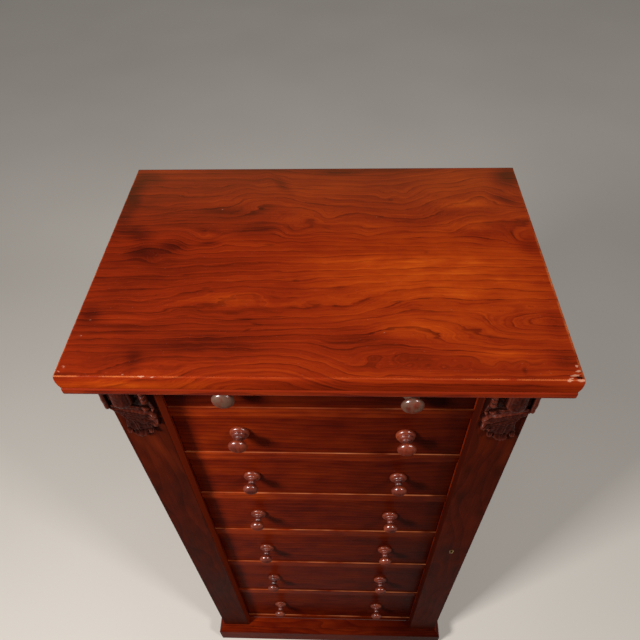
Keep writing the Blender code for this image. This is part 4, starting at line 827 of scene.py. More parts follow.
def turned_wood():
    """Turned knobs: dark mahogany that shines where hands rub its upper sides, and duller beneath.

    The two under the top have a painted dull grey-brown sheen.
    """
    made, tree, place, fibres = new_wood("turned_polished_mahogany", "Z")
    groove = add(tree, "ShaderNodeAttribute", attribute_name="groove").outputs["Fac"]
    # groove darkens the narrow neck and grooves of the knobs as painted shade
    tone = weighted_sum(tree, 0.20, [
        *weighed(fibres, Streaks=0.16, Fibres=0.12, Patches=0.25, Clouds=0.10), (groove, -0.15),
    ])
    colour = set_stops(add(tree, "ShaderNodeValToRGB", {0: tone}), KNOB_TONES)
    below, above = UNDER_TOP
    height = own_axes(tree).outputs["Z"]
    # Painted sheen: the knobs of drawer 1 turn a dull grey-brown
    sheen_under_top = add(tree, "ShaderNodeMapRange", {"Value": height, 1: below, 2: above, 4: 0.85})
    uneven = stretched_noise(tree, place, (12, 9, 9), 1.0, 0.30, 0.56)
    dull = add(tree, "ShaderNodeMath", {0: sheen_under_top, 1: uneven}, operation="MULTIPLY")
    wood = layered(tree, colour, [(dull, KNOB_PAINTED_SHEEN)])
    facing = facing_axes(tree, "Normal")
    upper = add(tree, "ShaderNodeMapRange", {"Value": facing.outputs["Z"], 1: 0.2, 2: 0.65})
    shine = weighted_sum(tree, 0.46, [(upper, -0.21), (groove, 0.15), *weighed(fibres, Patches=0.06)])
    gloss = weighted_sum(tree, 0.05, [(upper, 0.80)])
    return close_material(
        made, {"Base Color": wood, "Roughness": shine, "Specular IOR Level": gloss},
        weighed(fibres, Pores=-0.4, Fibres=0.2), 0.15, 0.1,
    )


def raw_wood(name, grain, tones, knot_tone):
    """Planed wood without polish, browned by age: dull, with clear grain and a little dust."""
    made, tree, place, fibres = new_wood(name, grain)
    rings = wandering_rings(tree, place, 7.0, 60.0)
    share = add(tree, "ShaderNodeVectorMath", {0: place, 1: KNOTS_PER_MM}, operation="MULTIPLY")
    knots = add(tree, "ShaderNodeTexVoronoi", {"Vector": share, "Scale": 1.0})
    knot = add(tree, "ShaderNodeMapRange", {
        "Value": knots.outputs["Distance"], 1: 0.04, 2: 0.09, 3: knot_tone, 4: 0.0,
    })
    tone = weighted_sum(tree, -0.02, [
        *weighed(fibres, Clouds=0.30, Streaks=0.26, Fibres=0.16), *weighed(rings, Tone=0.32), (knot, -1.0),
    ])
    colour = set_stops(add(tree, "ShaderNodeValToRGB", {0: tone}), tones)
    dust = stretched_noise(tree, place, (90, 70, 70), 4.0, 0.50, 0.80)
    wood = layered(tree, colour, [(dust, DUST)])
    return close_material(
        made, {"Base Color": wood, "Roughness": 0.72, "Specular IOR Level": 0.25},
        [*weighed(fibres, Fibres=0.5), *weighed(rings, Line=-0.4)], 0.5, 0.3,
    )


def old_metal(name, bright, dull, roughness, metallic):
    """Old metal fittings: rubbed bright on the faces, dulled in patches by tarnish or rust."""
    made, tree = new_material(name)
    place = place_in_mm(tree, "X")
    blotches = stretched_noise(tree, place, (9, 9, 9), 5.0, 0.38, 0.66)
    specks = stretched_noise(tree, place, (1.1, 1.1, 1.1), 2.0, 0.55, 0.75)
    brushed = stretched_noise(tree, place, (0.5, 12, 12), 1.0, 0.3, 0.7)
    dulled = weighted_sum(tree, 0.0, [(blotches, 0.65), (specks, 0.35)])
    colour = layered(tree, linear(bright), [(dulled, dull)])
    shine = weighted_sum(tree, roughness, [(dulled, 0.3)])
    return close_material(
        made, {"Base Color": colour, "Metallic": metallic, "Roughness": shine},
        [(brushed, 0.2), (specks, -0.4)], 0.3, 0.1,
    )


def plain_floor():
    """A plain matt studio floor, very slightly uneven in tone. It throws little light back on the chest."""
    made, tree = new_material("matt_studio_floor")
    uneven = stretched_noise(tree, place_in_mm(tree, "X"), (900, 900, 900), 2.0, 0.3, 0.7)
    seen_as = layered(tree, linear(FLOOR_COLOUR), [(uneven, FLOOR_SHADE)])
    ray = add(tree, "ShaderNodeLightPath")
    looked_at = ray.outputs["Is Camera Ray"]
    for kind in ("Is Glossy Ray", "Is Transmission Ray"):
        looked_at = add(tree, "ShaderNodeMath", {0: looked_at, 1: ray.outputs[kind]}, operation="MAXIMUM")
    colour = add(tree, "ShaderNodeMix", {
        0: looked_at, 6: linear(FLOOR_BOUNCE), 7: seen_as,
    }, data_type="RGBA")
    glow = add(tree, "ShaderNodeMath", {0: looked_at, 1: FLOOR_GLOW}, operation="MULTIPLY")
    return close_material(made, {
        "Base Color": colour.outputs[2], "Roughness": 0.9, "Specular IOR Level": 0.1,
        "Emission Color": seen_as, "Emission Strength": glow,
    })


# Polished woods: name, way of the grain, tones, spacing and wander of the rings in mm, tone before the
# grain, roughness, shine, depth of the ring lines, and what works over the colour
POLISHED_WOODS = {
    "front": ("front", "X", FRONT_TONES, 11.0, 70.0, 0.175, 0.25, 0.004, 0.22, fronts_painted_shade),
    "moulding": ("moulding", "X", MOULDING_TONES, 11.0, 70.0, 0.135, 0.25, 0.02, 0.22, moulding_highlight_and_knocks),
    "rail": ("rail", "X", RAIL_TONES, 11.0, 70.0, 0.135, 0.25, 0.006, 0.22, ledges_painted_highlight),
    "stile": ("stile", "Z", UPRIGHT_TONES, 13.0, 80.0, 0.155, 0.31, 0.004, 0.05, stile_grain_and_painted_light),
    "side": ("side", "Z", FRONT_TONES, 13.0, 80.0, 0.135, 0.27, 0.02, 0.22, None),
    "deep": ("plinth_side", "Y", FRONT_TONES, 11.0, 70.0, 0.115, 0.27, 0.02, 0.22, None),
}
FINISHES = {
    "top": (figured_top_wood,),
    **{name: (polished_wood, *row) for name, row in POLISHED_WOODS.items()},
    "carved": (carved_wood,),
    "turned": (turned_wood,),
    "lining": (raw_wood, "planed_drawer_lining", "Y", LINING_TONES, 0.0),
    "pine": (raw_wood, "aged_pine_boards", "Z", PINE_TONES, 0.5),
    "brass": (old_metal, "aged_cast_brass", BRASS, BRASS_TARNISH, 0.30, 1.0),
    "iron": (old_metal, "wrought_iron", IRON, IRON_RUST, 0.45, 0.85),
    "floor": (plain_floor,),
}


@functools.cache
def finish_of(name):
    """Each finish is made once, when it is first asked for."""
    make, *settings = FINISHES[name]
    return make(*settings)


def paint(finish, *nodes):
    """Gives CAD nodes a finish. Their shapes stay."""
    for name in nodes:
        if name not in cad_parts:
            raise RuntimeError(f"The packed model has no node called {name}")
        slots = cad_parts[name].data.materials
        slots.clear()
        slots.append(finish_of(finish))


def linked(name, data):
    """A new object of a mesh, a lamp or a camera, linked to the scene."""
    obj = bpy.data.objects.new(name, data)
    bpy.context.scene.collection.objects.link(obj)
    return obj


def add_piece(name, verts, faces, finish, smooth=True):
    """A finished piece at the origin, with its place in its mesh and its faces turned outwards."""
    mesh = bpy.data.meshes.new(name)
    mesh.from_pydata([tuple(v) for v in verts], [], faces)
    bm = bmesh.new()
    bm.from_mesh(mesh)
    bmesh.ops.recalc_face_normals(bm, faces=bm.faces)
    for face in bm.faces:
        face.smooth = smooth and len(face.verts) <= 4
    bm.to_mesh(mesh)
    bm.free()
    mesh.materials.append(finish_of(finish))
    return linked(name, mesh)


def put(obj, body, slot, *nodes):
    """Lets a piece ride on a body and lets it stand for CAD nodes. Its slot is not used."""
    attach(obj, body)
    if nodes:
        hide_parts(*nodes)


def board_outline(half_width, front_y, back_y, corner):
    """Points round a board from its back left corner: its left end, front, right end and back.

    They lie closer together near the front corners.
    """
    quarter = math.pi / 2
    run = front_y + corner - back_y
    left = [(-half_width, back_y + run * math.sin(quarter * i / END_STEPS)) for i in range(END_STEPS)]
    for i in range(CORNER_STEPS + 1):
        angle = quarter * i / CORNER_STEPS
        left.append((corner * (1 - math.cos(angle)) - half_width, front_y + corner * (1 - math.sin(angle))))
    front = [
        ((corner - half_width) * math.cos(math.pi * i / FRONT_STEPS), front_y) for i in range(1, FRONT_STEPS)
    ]
    back = [(half_width * (1 - 2 * i / BACK_STEPS), back_y) for i in range(1, BACK_STEPS)]
    return left + front + [(-x, y) for x, y in reversed(left)] + back


def moulded_board(name, low, high, profile, steps, corner, finish, shape=None):
    """A board whose moulded edge follows its ends and front. Rings shrink in steps over its upper face."""
    rings = []
    corner = max(corner, SHARP_CORNER * MM)
    for drop, inset in profile:
        outline = board_outline(high.x - inset * MM, low.y + inset * MM, high.y, corner)
        rings.append([(x, y, high.z - drop * MM) for x, y in outline])
    upper = rings[-1]
    middle_y = (low.y + high.y) / 2
    for share in steps:
        rings.append([(x * share, middle_y + (y - middle_y) * share, z) for x, y, z in upper])
    count = len(upper)
    verts = np.array(rings).reshape(-1, 3)
    if shape is not None:
        shape(verts)
    faces = []
    for start in range(0, len(verts) - count, count):
        for here in range(start, start + count):
            after = start + (here + 1 - start) % count
            faces.append((here, after, after + count, here + count))
    faces.append(tuple(range(count)))
    faces.append(tuple(range(len(verts) - count, len(verts))))
    return add_piece(name, verts, faces, finish)


def smooth_steps(value, low, high):
    """0 below low and 1 above high, with a soft bend at both ends."""
    share = np.clip((value - low) / (high - low), 0, 1)
    return share * share * (3 - 2 * share)


def bell(value, middle, reach):
    """1 at the middle, falling away to both sides like a bell."""
    return np.exp(-(((value - middle) / reach) ** 2))


def spot_reach(at, x, y, along, across, tilt):
    """How far places in mm lie from the middle of a spot, as a share of its half length and half width."""
    turn = math.radians(tilt)
    dx, dy = at[:, 0] - x, at[:, 1] - y
    a = (dx * math.cos(turn) + dy * math.sin(turn)) / along
    b = (dy * math.cos(turn) - dx * math.sin(turn)) / across
    return np.hypot(a, b)


def spot_sum(at, spots):
    """The sum of smooth bumps at places in mm."""
    return sum(height * smooth_steps(1 - spot_reach(at, *spot), 0, 1) for *spot, height in spots)


def beyond_edge(at):
    """How far places in mm lie beyond the top's widest line at its front and ends, less than 0 within it."""
    return np.maximum(np.abs(at[:, 0]) - TOP_HIGH.x / MM, TOP_LOW.y / MM - at[:, 1])


def chip_top(verts):
    """Presses the chips into the top's arris, and lets the arris waver as a hand-planed one does."""
    for *spot, depth in TOP_CHIPS:
        near = np.clip(1 - spot_reach(verts / MM, *spot), 0, 1)
        shallow = np.clip(1 - (TOP_HIGH.z - verts[:, 2]) / (CHIP_DROP * MM), 0, 1)
        verts[:, 2] -= depth * MM * near * shallow
    arris = (beyond_edge(verts / MM) > -2.0) & (np.abs(verts[:, 2] - TOP_HIGH.z) < 1.2 * MM)
    for i in np.nonzero(arris)[0]:
        x, y = verts[i, 0], verts[i, 1]
        waver = sum(noise.noise(Vector((x / size, y / size, layer))) for size, layer in ARRIS_WAVES)
        verts[i, 2] -= ARRIS_WAVER * MM * (1 + waver) / 2


def traced_points():
    """Places on the drawn growth lines, less than two steps apart, with the ring and boldness of each."""
    traced = []
    for ring, boldness, line in FIGURE_LINES:
        for start, end in zip(line[:-1], line[1:]):
            parts = max(1, int(math.dist(start, end) / TRACE_STEP))
            for i in range(parts):
                place = [a + (b - a) * i / parts for a, b in zip(start, end)]
                traced.append((*place, ring, boldness))
        traced.append((*line[-1], ring, boldness))
    traced = np.array(traced, float)
    return traced[:, :2], traced[:, 2], traced[:, 3]


def distances(some, others):
    """How far each of some places lies from each of the others."""
    return np.hypot(*(some[:, None] - others[None]).transpose(2, 0, 1))


def bending(reach):
    """How a thin plate bends at a distance from a point that holds it."""
    return reach * reach * np.log(reach + 1e-9)


def ring_field(at):
    """The ring number and the boldness of the lines at places in mm.

    A thin plate bent through the drawn growth lines gives a smooth surface, and its contours are the rings.
    """
    places, rings, bold = traced_points()
    count = len(places)
    plate = np.zeros((count + 3, count + 3))
    plate[:count, :count] = bending(distances(places, places)) + PLATE_SOFTNESS * np.eye(count)
    plate[:count, count:] = np.column_stack([np.ones(count), places])
    plate[count:, :count] = plate[:count, count:].T
    weights = np.linalg.solve(plate, np.concatenate([rings, np.zeros(3)]))
    field, boldness = np.empty(len(at)), np.empty(len(at))
    for start in range(0, len(at), AT_A_TIME):
        part = slice(start, start + AT_A_TIME)
        reach = distances(at[part], places)
        field[part] = bending(reach) @ weights[:count] + weights[count] + at[part] @ weights[count + 1:]
        nearness = bell(reach, 0, BOLD_REACH) + 1e-9
        boldness[part] = nearness @ bold / nearness.sum(axis=1)
    return field, boldness


def store(obj, name, values):
    """Keeps a number per vertex for the piece's own material."""
    kept = obj.data.attributes.new(name, "FLOAT", "POINT")
    kept.data.foreach_set("value", np.asarray(values, dtype=np.float32))


def draw_figure(obj):
    """Stores the rings, their boldness, the shading with its painted light, and the worn and highlit arris
    of the top on its mesh.
    """
    verts = np.empty(len(obj.data.vertices) * 3)
    obj.data.vertices.foreach_get("co", verts)
    verts = verts.reshape(-1, 3) / MM
    drop = TOP_HIGH.z / MM - verts[:, 2]
    laid = np.column_stack([verts[:, 0], verts[:, 1] - FIGURE_SLANT * drop])
    field, boldness = ring_field(laid)
    store(obj, "rings", field)
    store(obj, "bold", boldness)
    # The top's tone, with painted light and shade on its front edge
    store(obj, "shade", spot_sum(laid, TOP_BRIGHTER_TONE_AND_PAINTED_LIGHT) - spot_sum(laid, TOP_DARKER_TONE_AND_PAINTED_SHADE))
    # The arris's wear with its painted highlight
    on_arris = np.clip(1 - np.abs(beyond_edge(verts) + 1.7) / 0.75, 0, 1) * np.clip((3.0 - drop) / 1.8, 0, 1)
    on_arris *= np.interp(verts[:, 0], *zip(*ARRIS_WEAR_AND_HIGHLIGHT_FRONT))
    from_right = np.clip(1 - np.abs(verts[:, 0] - TOP_HIGH.x / MM + 2.6) / 1.5, 0, 1) * (drop < 0.5)
    from_right *= np.interp(verts[:, 1], *zip(*ARRIS_WEAR_AND_HIGHLIGHT_RIGHT))
    store(obj, "arris", np.maximum(on_arris, from_right))


def rounded(values, passes):
    """The values of a grid with their corners softened."""
    for _ in range(passes):
        edged = np.pad(values, 1, mode="edge")
        beside = edged[2:, 1:-1] + edged[:-2, 1:-1] + edged[1:-1, 2:] + edged[1:-1, :-2]
        values = (values + beside) / 5
    return values


def tongue_height(across, down, floor, tongue):
    """A tongue of the scroll, round in section, with a rounded nose, and beads along it if it has any."""
    middle, half, out, foot, nose, bead = tongue
    past = np.clip(down - (foot - nose), 0, None) / nose
    beside = (across - middle) / half
    crown = np.sqrt(np.clip(1 - beside**2 - past**2, 0, 1)) ** 0.8
    swell = 0.90 + 0.10 * smooth_steps(down, 0, 14)
    if bead:
        swell = swell * (0.74 + 0.26 * np.abs(np.sin(math.pi * down / bead)) ** 0.7)
    carved_line = 0.9 * bell(np.abs(beside), 0.80, 0.7 / half) * (half > 8)
    return floor + (out * swell - floor - carved_line) * crown


def lobe_height(across, down, lobe):
    """A lobe of the leaf from its root to its tip, fluted along its length, with a curled tip."""
    (root_x, root_down), (tip_x, tip_down), half, out, tip_out, rise, bow = lobe
    run_x, run_down = tip_x - root_x, tip_down - root_down
    length = math.hypot(run_x, run_down)
    along = ((across - root_x) * run_x + (down - root_down) * run_down) / length**2
    beside = ((down - root_down) * run_x - (across - root_x) * run_down) / length
    beside = beside + bow * 4 * along * (1 - along)
    width = half * np.interp(along, *zip(*LOBE_WIDTHS))
    inside = np.clip(1 - (beside / width) ** 2, 0, 1) * (along > LOBE_WIDTHS[0][0]) * (along < 1.0)
    curl = 2.8 * bell(along, 0.90, 0.06) - 1.2 * bell(along, 0.76, 0.05)
    flutes = 0.55 * np.cos(2 * math.pi * 1.7 * beside / width) * smooth_steps(along, 0.0, 0.25)
    rib = -0.9 * bell(beside, 0, 0.9) * smooth_steps(0.95 - along, 0.0, 0.2)
    level = out + (tip_out - out) * along + curl
    return level * inside**0.22 + (rise + flutes + rib) * np.sqrt(inside)


def corbel_height(across, down):
    """How far the carving stands out from the stile, in mm, at places across it and down from its head."""
    floor = np.interp(down, *zip(*CORBEL_FLOOR))
    height = floor
    for tongue in CORBEL_TONGUES:
        height = np.maximum(height, tongue_height(across, down, floor, tongue))
    for lobe in CORBEL_LOBES:
        height = np.maximum(height, lobe_height(across, down, lobe))
    return height


def gouge_marks(across, down, side):
    """Fine and broad unevenness that gouges leave, around 0, at a place in mm."""
    fine = noise.noise(Vector((across / 3.0, down / 5.0, 4.0 * side)))
    broad = noise.noise(Vector((across / 9.0, down / 12.0, side)))
    return fine + 2.0 * broad


def carve_corbel(name, node, inward):
    """A scroll of three tongues over a leaf swept towards the drawers. inward is 1 where they lie at +X."""
    low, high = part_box(node)
    length, depth = (high.z - low.z) / MM, (high.y - low.y) / MM
    share = np.linspace(0, 1, CORBEL_COLUMNS)
    down = np.linspace(0, length, CORBEL_ROWS)[:, None]
    outer, inner = np.interp(down, *zip(*CORBEL_OUTER_EDGE)), np.interp(down, *zip(*CORBEL_INNER_EDGE))
    across = outer + (inner - outer) * share
    drops = np.repeat(down, CORBEL_COLUMNS, axis=1)
    marks = [gouge_marks(x, d, inward) for x, d in zip(across.reshape(-1), drops.reshape(-1))]
    height = rounded(corbel_height(across, drops), 2) + 0.45 * np.array(marks).reshape(across.shape)
    sides = smooth_steps(np.minimum(share, 1 - share), 0.0, 0.03)
    foot = 0.35 + 0.65 * smooth_steps(length - down, 0, 3.0)
    shaped = np.clip(1.2 + (height - 1.2) * (0.72 + 0.28 * sides) * foot, 0.8, depth - 0.1)
    x = np.clip((low.x + high.x) / 2 + inward * across * MM, low.x + 0.05 * MM, high.x - 0.05 * MM)
    front = np.stack([x, high.y - shaped * MM, high.z - drops * MM], -1).reshape(-1, 3)
    # ridge: high on the carving's ridges, low in its hollows, for the wax and painted shade there
    ridge = 0.38 + (shaped - rounded(shaped, 14)) * 0.9 + (shaped - rounded(shaped, 120)) * 0.16

    grid = np.arange(len(front)).reshape(across.shape)
    rim = np.concatenate([grid[:, 0], grid[-1, 1:], grid[-2::-1, -1], grid[0, -2:0:-1]]).tolist()
    back = front[rim]
    back[:, 1] = high.y
    faces = []
    for here in grid[:-1, :-1].reshape(-1).tolist():
        below = here + CORBEL_COLUMNS
        faces.append((here, here + 1, below + 1, below))
    behind = range(len(front), len(front) + len(rim))
    for i, start in enumerate(rim):
        after = (i + 1) % len(rim)
        faces.append((start, rim[after], behind[after], behind[i]))
    faces.append(tuple(behind))
    obj = add_piece(name, [*front, *back], faces, "carved")
    store(obj, "ridge", np.concatenate([np.clip(ridge, 0, 1).reshape(-1), np.full(len(rim), 0.25)]))
    return obj


def new_geometry_tree(name, sizes, counts):
    """An empty geometry node tree with inputs for its points, sizes, whole numbers and material."""
    tree = bpy.data.node_groups.new(name, "GeometryNodeTree")
    tree.interface.new_socket("Geometry", in_out="OUTPUT", socket_type="NodeSocketGeometry")
    kinds = {
        "Geometry": "Geometry", **dict.fromkeys(sizes, "Float"), **dict.fromkeys(counts, "Int"),
        "Material": "Material",
    }
    for label, kind in kinds.items():
        tree.interface.new_socket(label, in_out="INPUT", socket_type="NodeSocket" + kind)
    return tree, tree.nodes.new("NodeGroupInput"), tree.nodes.new("NodeGroupOutput")


def close_geometry_tree(tree, start, end, instances):
    """Ends a geometry node tree: its instances become plain faces with the material it is given."""
    real = add(tree, "GeometryNodeRealizeInstances", {"Geometry": instances})
    real = add(tree, "GeometryNodeSetMaterial", {"Geometry": real, "Material": start.outputs["Material"]})
    tree.links.new(real.outputs[0], end.inputs["Geometry"])
    return tree


def spun_about(tree, start, instances):
    """Instances turned about their own axes, each by a random angle."""
    angle = add(tree, "FunctionNodeRandomValue", {
        2: 0.0, 3: math.pi, "Seed": start.outputs["Seed"],
    }, data_type="FLOAT")
    spin = add(tree, "ShaderNodeCombineXYZ", {2: angle.outputs[1]})
    return add(tree, "GeometryNodeRotateInstances", {
        "Instances": instances, "Rotation": spin, "Local Space": True,
    })


def grown(name, points, tree, settings, finish):
    """Runs a geometry node tree on a set of points and keeps the result as a plain mesh."""
    seeds = bpy.data.meshes.new(name + "_points")
    seeds.from_pydata([tuple(p) for p in points], [], [])
    host = linked(name + "_host", seeds)
    modifier = host.modifiers.new("Grow", "NODES")
    modifier.node_group = tree
    sockets = {s.name: s.identifier for s in tree.interface.items_tree if s.in_out == "INPUT"}
    for label, value in {**settings, "Material": finish_of(finish)}.items():
        modifier[sockets[label]] = value
    bpy.context.view_layer.update()
    graph = bpy.context.evaluated_depsgraph_get()
    mesh = bpy.data.meshes.new_from_object(host.evaluated_get(graph))
    mesh.name = name
    if not mesh.polygons:
        raise RuntimeError(f"{tree.name} made nothing for {name}")
    bpy.data.objects.remove(host)
    return linked(name, mesh)


def knob_tree(name, profile):
    """A knob turned from a profile, set on every point with its axis along -Y.

    Its base and its head have their own diameters, which meet at the neck.
    """
    tree, start, end = new_geometry_tree(
        name, ["Base Diameter", "Head Diameter", "Projection"], ["Segments", "Rings"],
    )
    reach = add(tree, "ShaderNodeMath", {0: start.outputs["Projection"], 1: -1.0}, operation="MULTIPLY")
    tip = add(tree, "ShaderNodeCombineXYZ", {1: reach})
    axis = add(tree, "GeometryNodeCurvePrimitiveLine", {"Start": (0, 0, 0), "End": tip})
    axis = add(tree, "GeometryNodeResampleCurve", {"Curve": axis, "Count": start.outputs["Rings"]})
    along = add(tree, "GeometryNodeSplineParameter").outputs["Factor"]
    share = set_curve(add(tree, "ShaderNodeFloatCurve", {"Value": along}), profile)
    across = add(tree, "ShaderNodeMapRange", {
        "Value": along, 1: 0.46, 2: 0.54,
        3: start.outputs["Base Diameter"], 4: start.outputs["Head Diameter"],
    })
    half_share = add(tree, "ShaderNodeMath", {0: share, 1: 0.5}, operation="MULTIPLY")
    radius = add(tree, "ShaderNodeMath", {0: half_share, 1: across}, operation="MULTIPLY")
    # The narrower the knob, the more painted shade the groove attribute gives
    groove = add(tree, "ShaderNodeMapRange", {"Value": share, 1: 0.9, 2: 0.4})
    axis = add(tree, "GeometryNodeStoreNamedAttribute", {
        "Geometry": axis, "Name": "groove", "Value": groove,
    })
    circle = add(tree, "GeometryNodeCurvePrimitiveCircle", {
        "Resolution": start.outputs["Segments"], "Radius": 1.0,
    })
    skin = add(tree, "GeometryNodeCurveToMesh", {
        "Curve": axis, "Profile Curve": circle.outputs["Curve"], "Scale": radius, "Fill Caps": True,
    })
    skin = add(tree, "GeometryNodeMergeByDistance", {"Geometry": skin, "Distance": 0.02 * MM})
    skin = add(tree, "GeometryNodeSetShadeSmooth", {"Geometry": skin})
    knobs = add(tree, "GeometryNodeInstanceOnPoints", {
        "Points": start.outputs["Geometry"], "Instance": skin,
    })
    return close_geometry_tree(tree, start, end, knobs)


def screw_tree():
    """A slotted countersunk screw head on every point. Turn, about X, makes it face -Y or +Y."""
    tree, start, end = new_geometry_tree(
        "Slotted screw heads", ["Diameter", "Slot Width", "Height", "Turn"], ["Seed"],
    )
    diameter, height = start.outputs["Diameter"], start.outputs["Height"]
    radius = add(tree, "ShaderNodeMath", {0: diameter, 1: 0.5}, operation="MULTIPLY")
    head = add(tree, "GeometryNodeMeshCylinder", {"Vertices": 20, "Radius": radius, "Depth": height})
    length = add(tree, "ShaderNodeMath", {0: diameter, 1: 1.2}, operation="MULTIPLY")
    size = add(tree, "ShaderNodeCombineXYZ", {0: length, 1: start.outputs["Slot Width"], 2: height})
    slot = add(tree, "GeometryNodeMeshCube", {"Size": size})
    rise = add(tree, "ShaderNodeMath", {0: height, 1: 0.55}, operation="MULTIPLY")
    lift = add(tree, "ShaderNodeCombineXYZ", {2: rise})
    slot = add(tree, "GeometryNodeTransform", {"Geometry": slot, "Translation": lift})
    cut = add(tree, "GeometryNodeMeshBoolean", {"Mesh 1": head, "Mesh 2": slot}, operation="DIFFERENCE")
    facing = add(tree, "ShaderNodeCombineXYZ", {0: start.outputs["Turn"]})
    placed = add(tree, "GeometryNodeInstanceOnPoints", {
        "Points": start.outputs["Geometry"], "Instance": cut.outputs["Mesh"], "Rotation": facing,
    })
    return close_geometry_tree(tree, start, end, spun_about(tree, start, placed))


def nail_tree():
    """A hammered cut-nail head on every point, facing +Y, each a little different."""
    tree, start, end = new_geometry_tree("Cut nail heads", ["Width", "Height"], ["Seed"])
    width = start.outputs["Width"]
    radius = add(tree, "ShaderNodeMath", {0: width, 1: 0.6}, operation="MULTIPLY")
    small = add(tree, "ShaderNodeMath", {0: width, 1: 0.3}, operation="MULTIPLY")
    head = add(tree, "GeometryNodeMeshCone", {
        "Vertices": 5, "Radius Top": small, "Radius Bottom": radius, "Depth": start.outputs["Height"],
    })
    size = add(tree, "FunctionNodeRandomValue", {
        2: 0.8, 3: 1.2, "Seed": start.outputs["Seed"],
    }, data_type="FLOAT")
    facing = add(tree, "ShaderNodeCombineXYZ", {0: -math.pi / 2})
    placed = add(tree, "GeometryNodeInstanceOnPoints", {
        "Points": start.outputs["Geometry"], "Instance": head.outputs["Mesh"], "Rotation": facing,
        "Scale": size.outputs[1],
    })
    return close_geometry_tree(tree, start, end, spun_about(tree, start, placed))


def leaf_screws(leaf, face_y):
    """Places for the screws of both hinges in one kind of leaf."""
    x = SIDE_RIGHT_HIGH.x - HINGE_SCREW_INSET * MM
    places = []
    for end in HINGE_ENDS:
        low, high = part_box(f"hinge_leaf_{leaf}_{end}")
        middle_z = (low.z + high.z) / 2
        places += [(x, face_y, middle_z + step * MM) for step in HINGE_SCREW_STEPS]
    return places


class ChestSizes(bpy.types.PropertyGroup):
    """Sizes of the fine pieces."""

    knob_head_share: FloatVectorProperty(
        name="Knob Heads", description="Heads against bases, for drawer 1, for drawer 2 and for the others",
        default=(0.955, 0.9625, 0.893),
    )
    knob_projection: FloatProperty(
        name="Knob Projection", description="From the drawer's face to the crown of a knob",
        default=FRONT_LOW.y - KNOB_LOW.y - 1.6 * MM, unit="LENGTH",
    )
    knob_segments: IntProperty(name="Knob Segments", description="Faces round a knob", default=56, min=12)
    corner_rounding: FloatProperty(
        name="Corner Rounding", description="Radius of the front corners of the top",
        default=1.6 * MM, unit="LENGTH",
    )
    screw_diameter: FloatProperty(
        name="Screw Diameter", description="Across the heads of the screws", default=4.4 * MM, unit="LENGTH",
    )
    screw_height: FloatProperty(
        name="Screw Height", description="Height of a screw head", default=0.8 * MM, unit="LENGTH",
    )
    nail_width: FloatProperty(
        name="Nail Width", description="Across the heads of the nails in the back",
        default=4.0 * MM, unit="LENGTH",
    )


class ChestStage(bpy.types.PropertyGroup):
    """Light, floor and camera."""

    left_power: FloatProperty(
        name="Left Lamp", description="Power of the soft lamp at the front left", default=51.0, unit="POWER",
    )
    right_power: FloatProperty(
        name="Right Lamp", description="Power of the soft lamp at the front right",
        default=23.0, unit="POWER",
    )
    left_size: FloatProperty(
        name="Left Lamp Size", description="Side of the square left lamp", default=0.42, unit="LENGTH",
    )
    right_size: FloatProperty(
        name="Right Lamp Size", description="Side of the square right lamp", default=0.33, unit="LENGTH",
    )
    room_light: FloatVectorProperty(
        name="Room Light", description="Colour of the even light of the room", subtype="COLOR",
        default=(0.07, 0.068, 0.066),
    )
    camera_offset: FloatVectorProperty(
        name="Camera Offset", description="From the middle of the top's front arris to the camera",
        default=(0.0302, -0.3864, 0.5246), subtype="TRANSLATION", unit="LENGTH",
    )
    camera_angles: FloatVectorProperty(
        name="Camera Angles", description="Pitch below the horizon, turn and roll of the camera",
        default=(math.radians(47.91), math.radians(3.21), math.radians(-2.14)),
        subtype="EULER", unit="ROTATION",
    )
    lens: FloatProperty(name="Lens", description="Focal length on a 36 mm sensor", default=32.6)


class MakeTop(bpy.types.Operator):
    """Make the polished top board and the thin rounded board under it"""

    bl_idname = "chest.make_top"
    bl_label = "Top"

    def execute(self, context):
        corner = context.scene.chest_sizes.corner_rounding
        top = moulded_board(
            "figured_top", TOP_LOW, TOP_HIGH, TOP_PROFILE, TOP_STEPS, corner, "top", chip_top,
        )
        draw_figure(top)
        put(top, "carcass", "polished_mahogany", "top_board")
        under = moulded_board(
            "rounded_sub_top", SUB_TOP_LOW, SUB_TOP_HIGH, SUB_TOP_PROFILE, (), corner, "moulding",
        )
        put(under, "carcass", "polished_mahogany", "sub_top")
        return {"FINISHED"}


class FinishCarcass(bpy.types.Operator):
    """Finish the sides, posts, rails, dustboards, back and plinth"""

    bl_idname = "chest.finish_carcass"
    bl_label = "Carcass"

    def execute(self, context):
        paint("side", "side_left", "side_right", "post_left", "post_right")
        paint("front", "top_rail", "plinth_front")
        paint("rail", "bottom_board", *[f"dustboard_{number}" for number in DRAWERS[:-1]])
        paint("deep", "plinth_left", "plinth_right")
        paint("pine", "back_panel")
        return {"FINISHED"}


class FinishStiles(bpy.types.Operator):
    """Finish the fixed stile and the locking stile"""

    bl_idname = "chest.finish_stiles"
    bl_label = "Stiles"

    def execute(self, context):
        paint("stile", "fixed_stile", "locking_stile")
        return {"FINISHED"}


class CarveCorbels(bpy.types.Operator):
    """Carve the scroll and leaf at the head of each stile"""

    bl_idname = "chest.carve_corbels"
    bl_label = "Corbels"

    def execute(self, context):
        for side, body, inward in (("left", "carcass", 1), ("right", "hinged_stile", -1)):
            corbel = carve_corbel("carved_corbel_" + side, "corbel_" + side, inward)
            put(corbel, body, "carved_mahogany", "corbel_" + side)
        return {"FINISHED"}


class FinishDrawers(bpy.types.Operator):
    """Finish the drawer fronts and the drawer boxes"""

    bl_idname = "chest.finish_drawers"
    bl_label = "Drawers"

    def execute(self, context):
        for number in DRAWERS:
            paint("front", f"drawer_{number}_front")
            paint("lining", f"drawer_{number}_box")
        return {"FINISHED"}


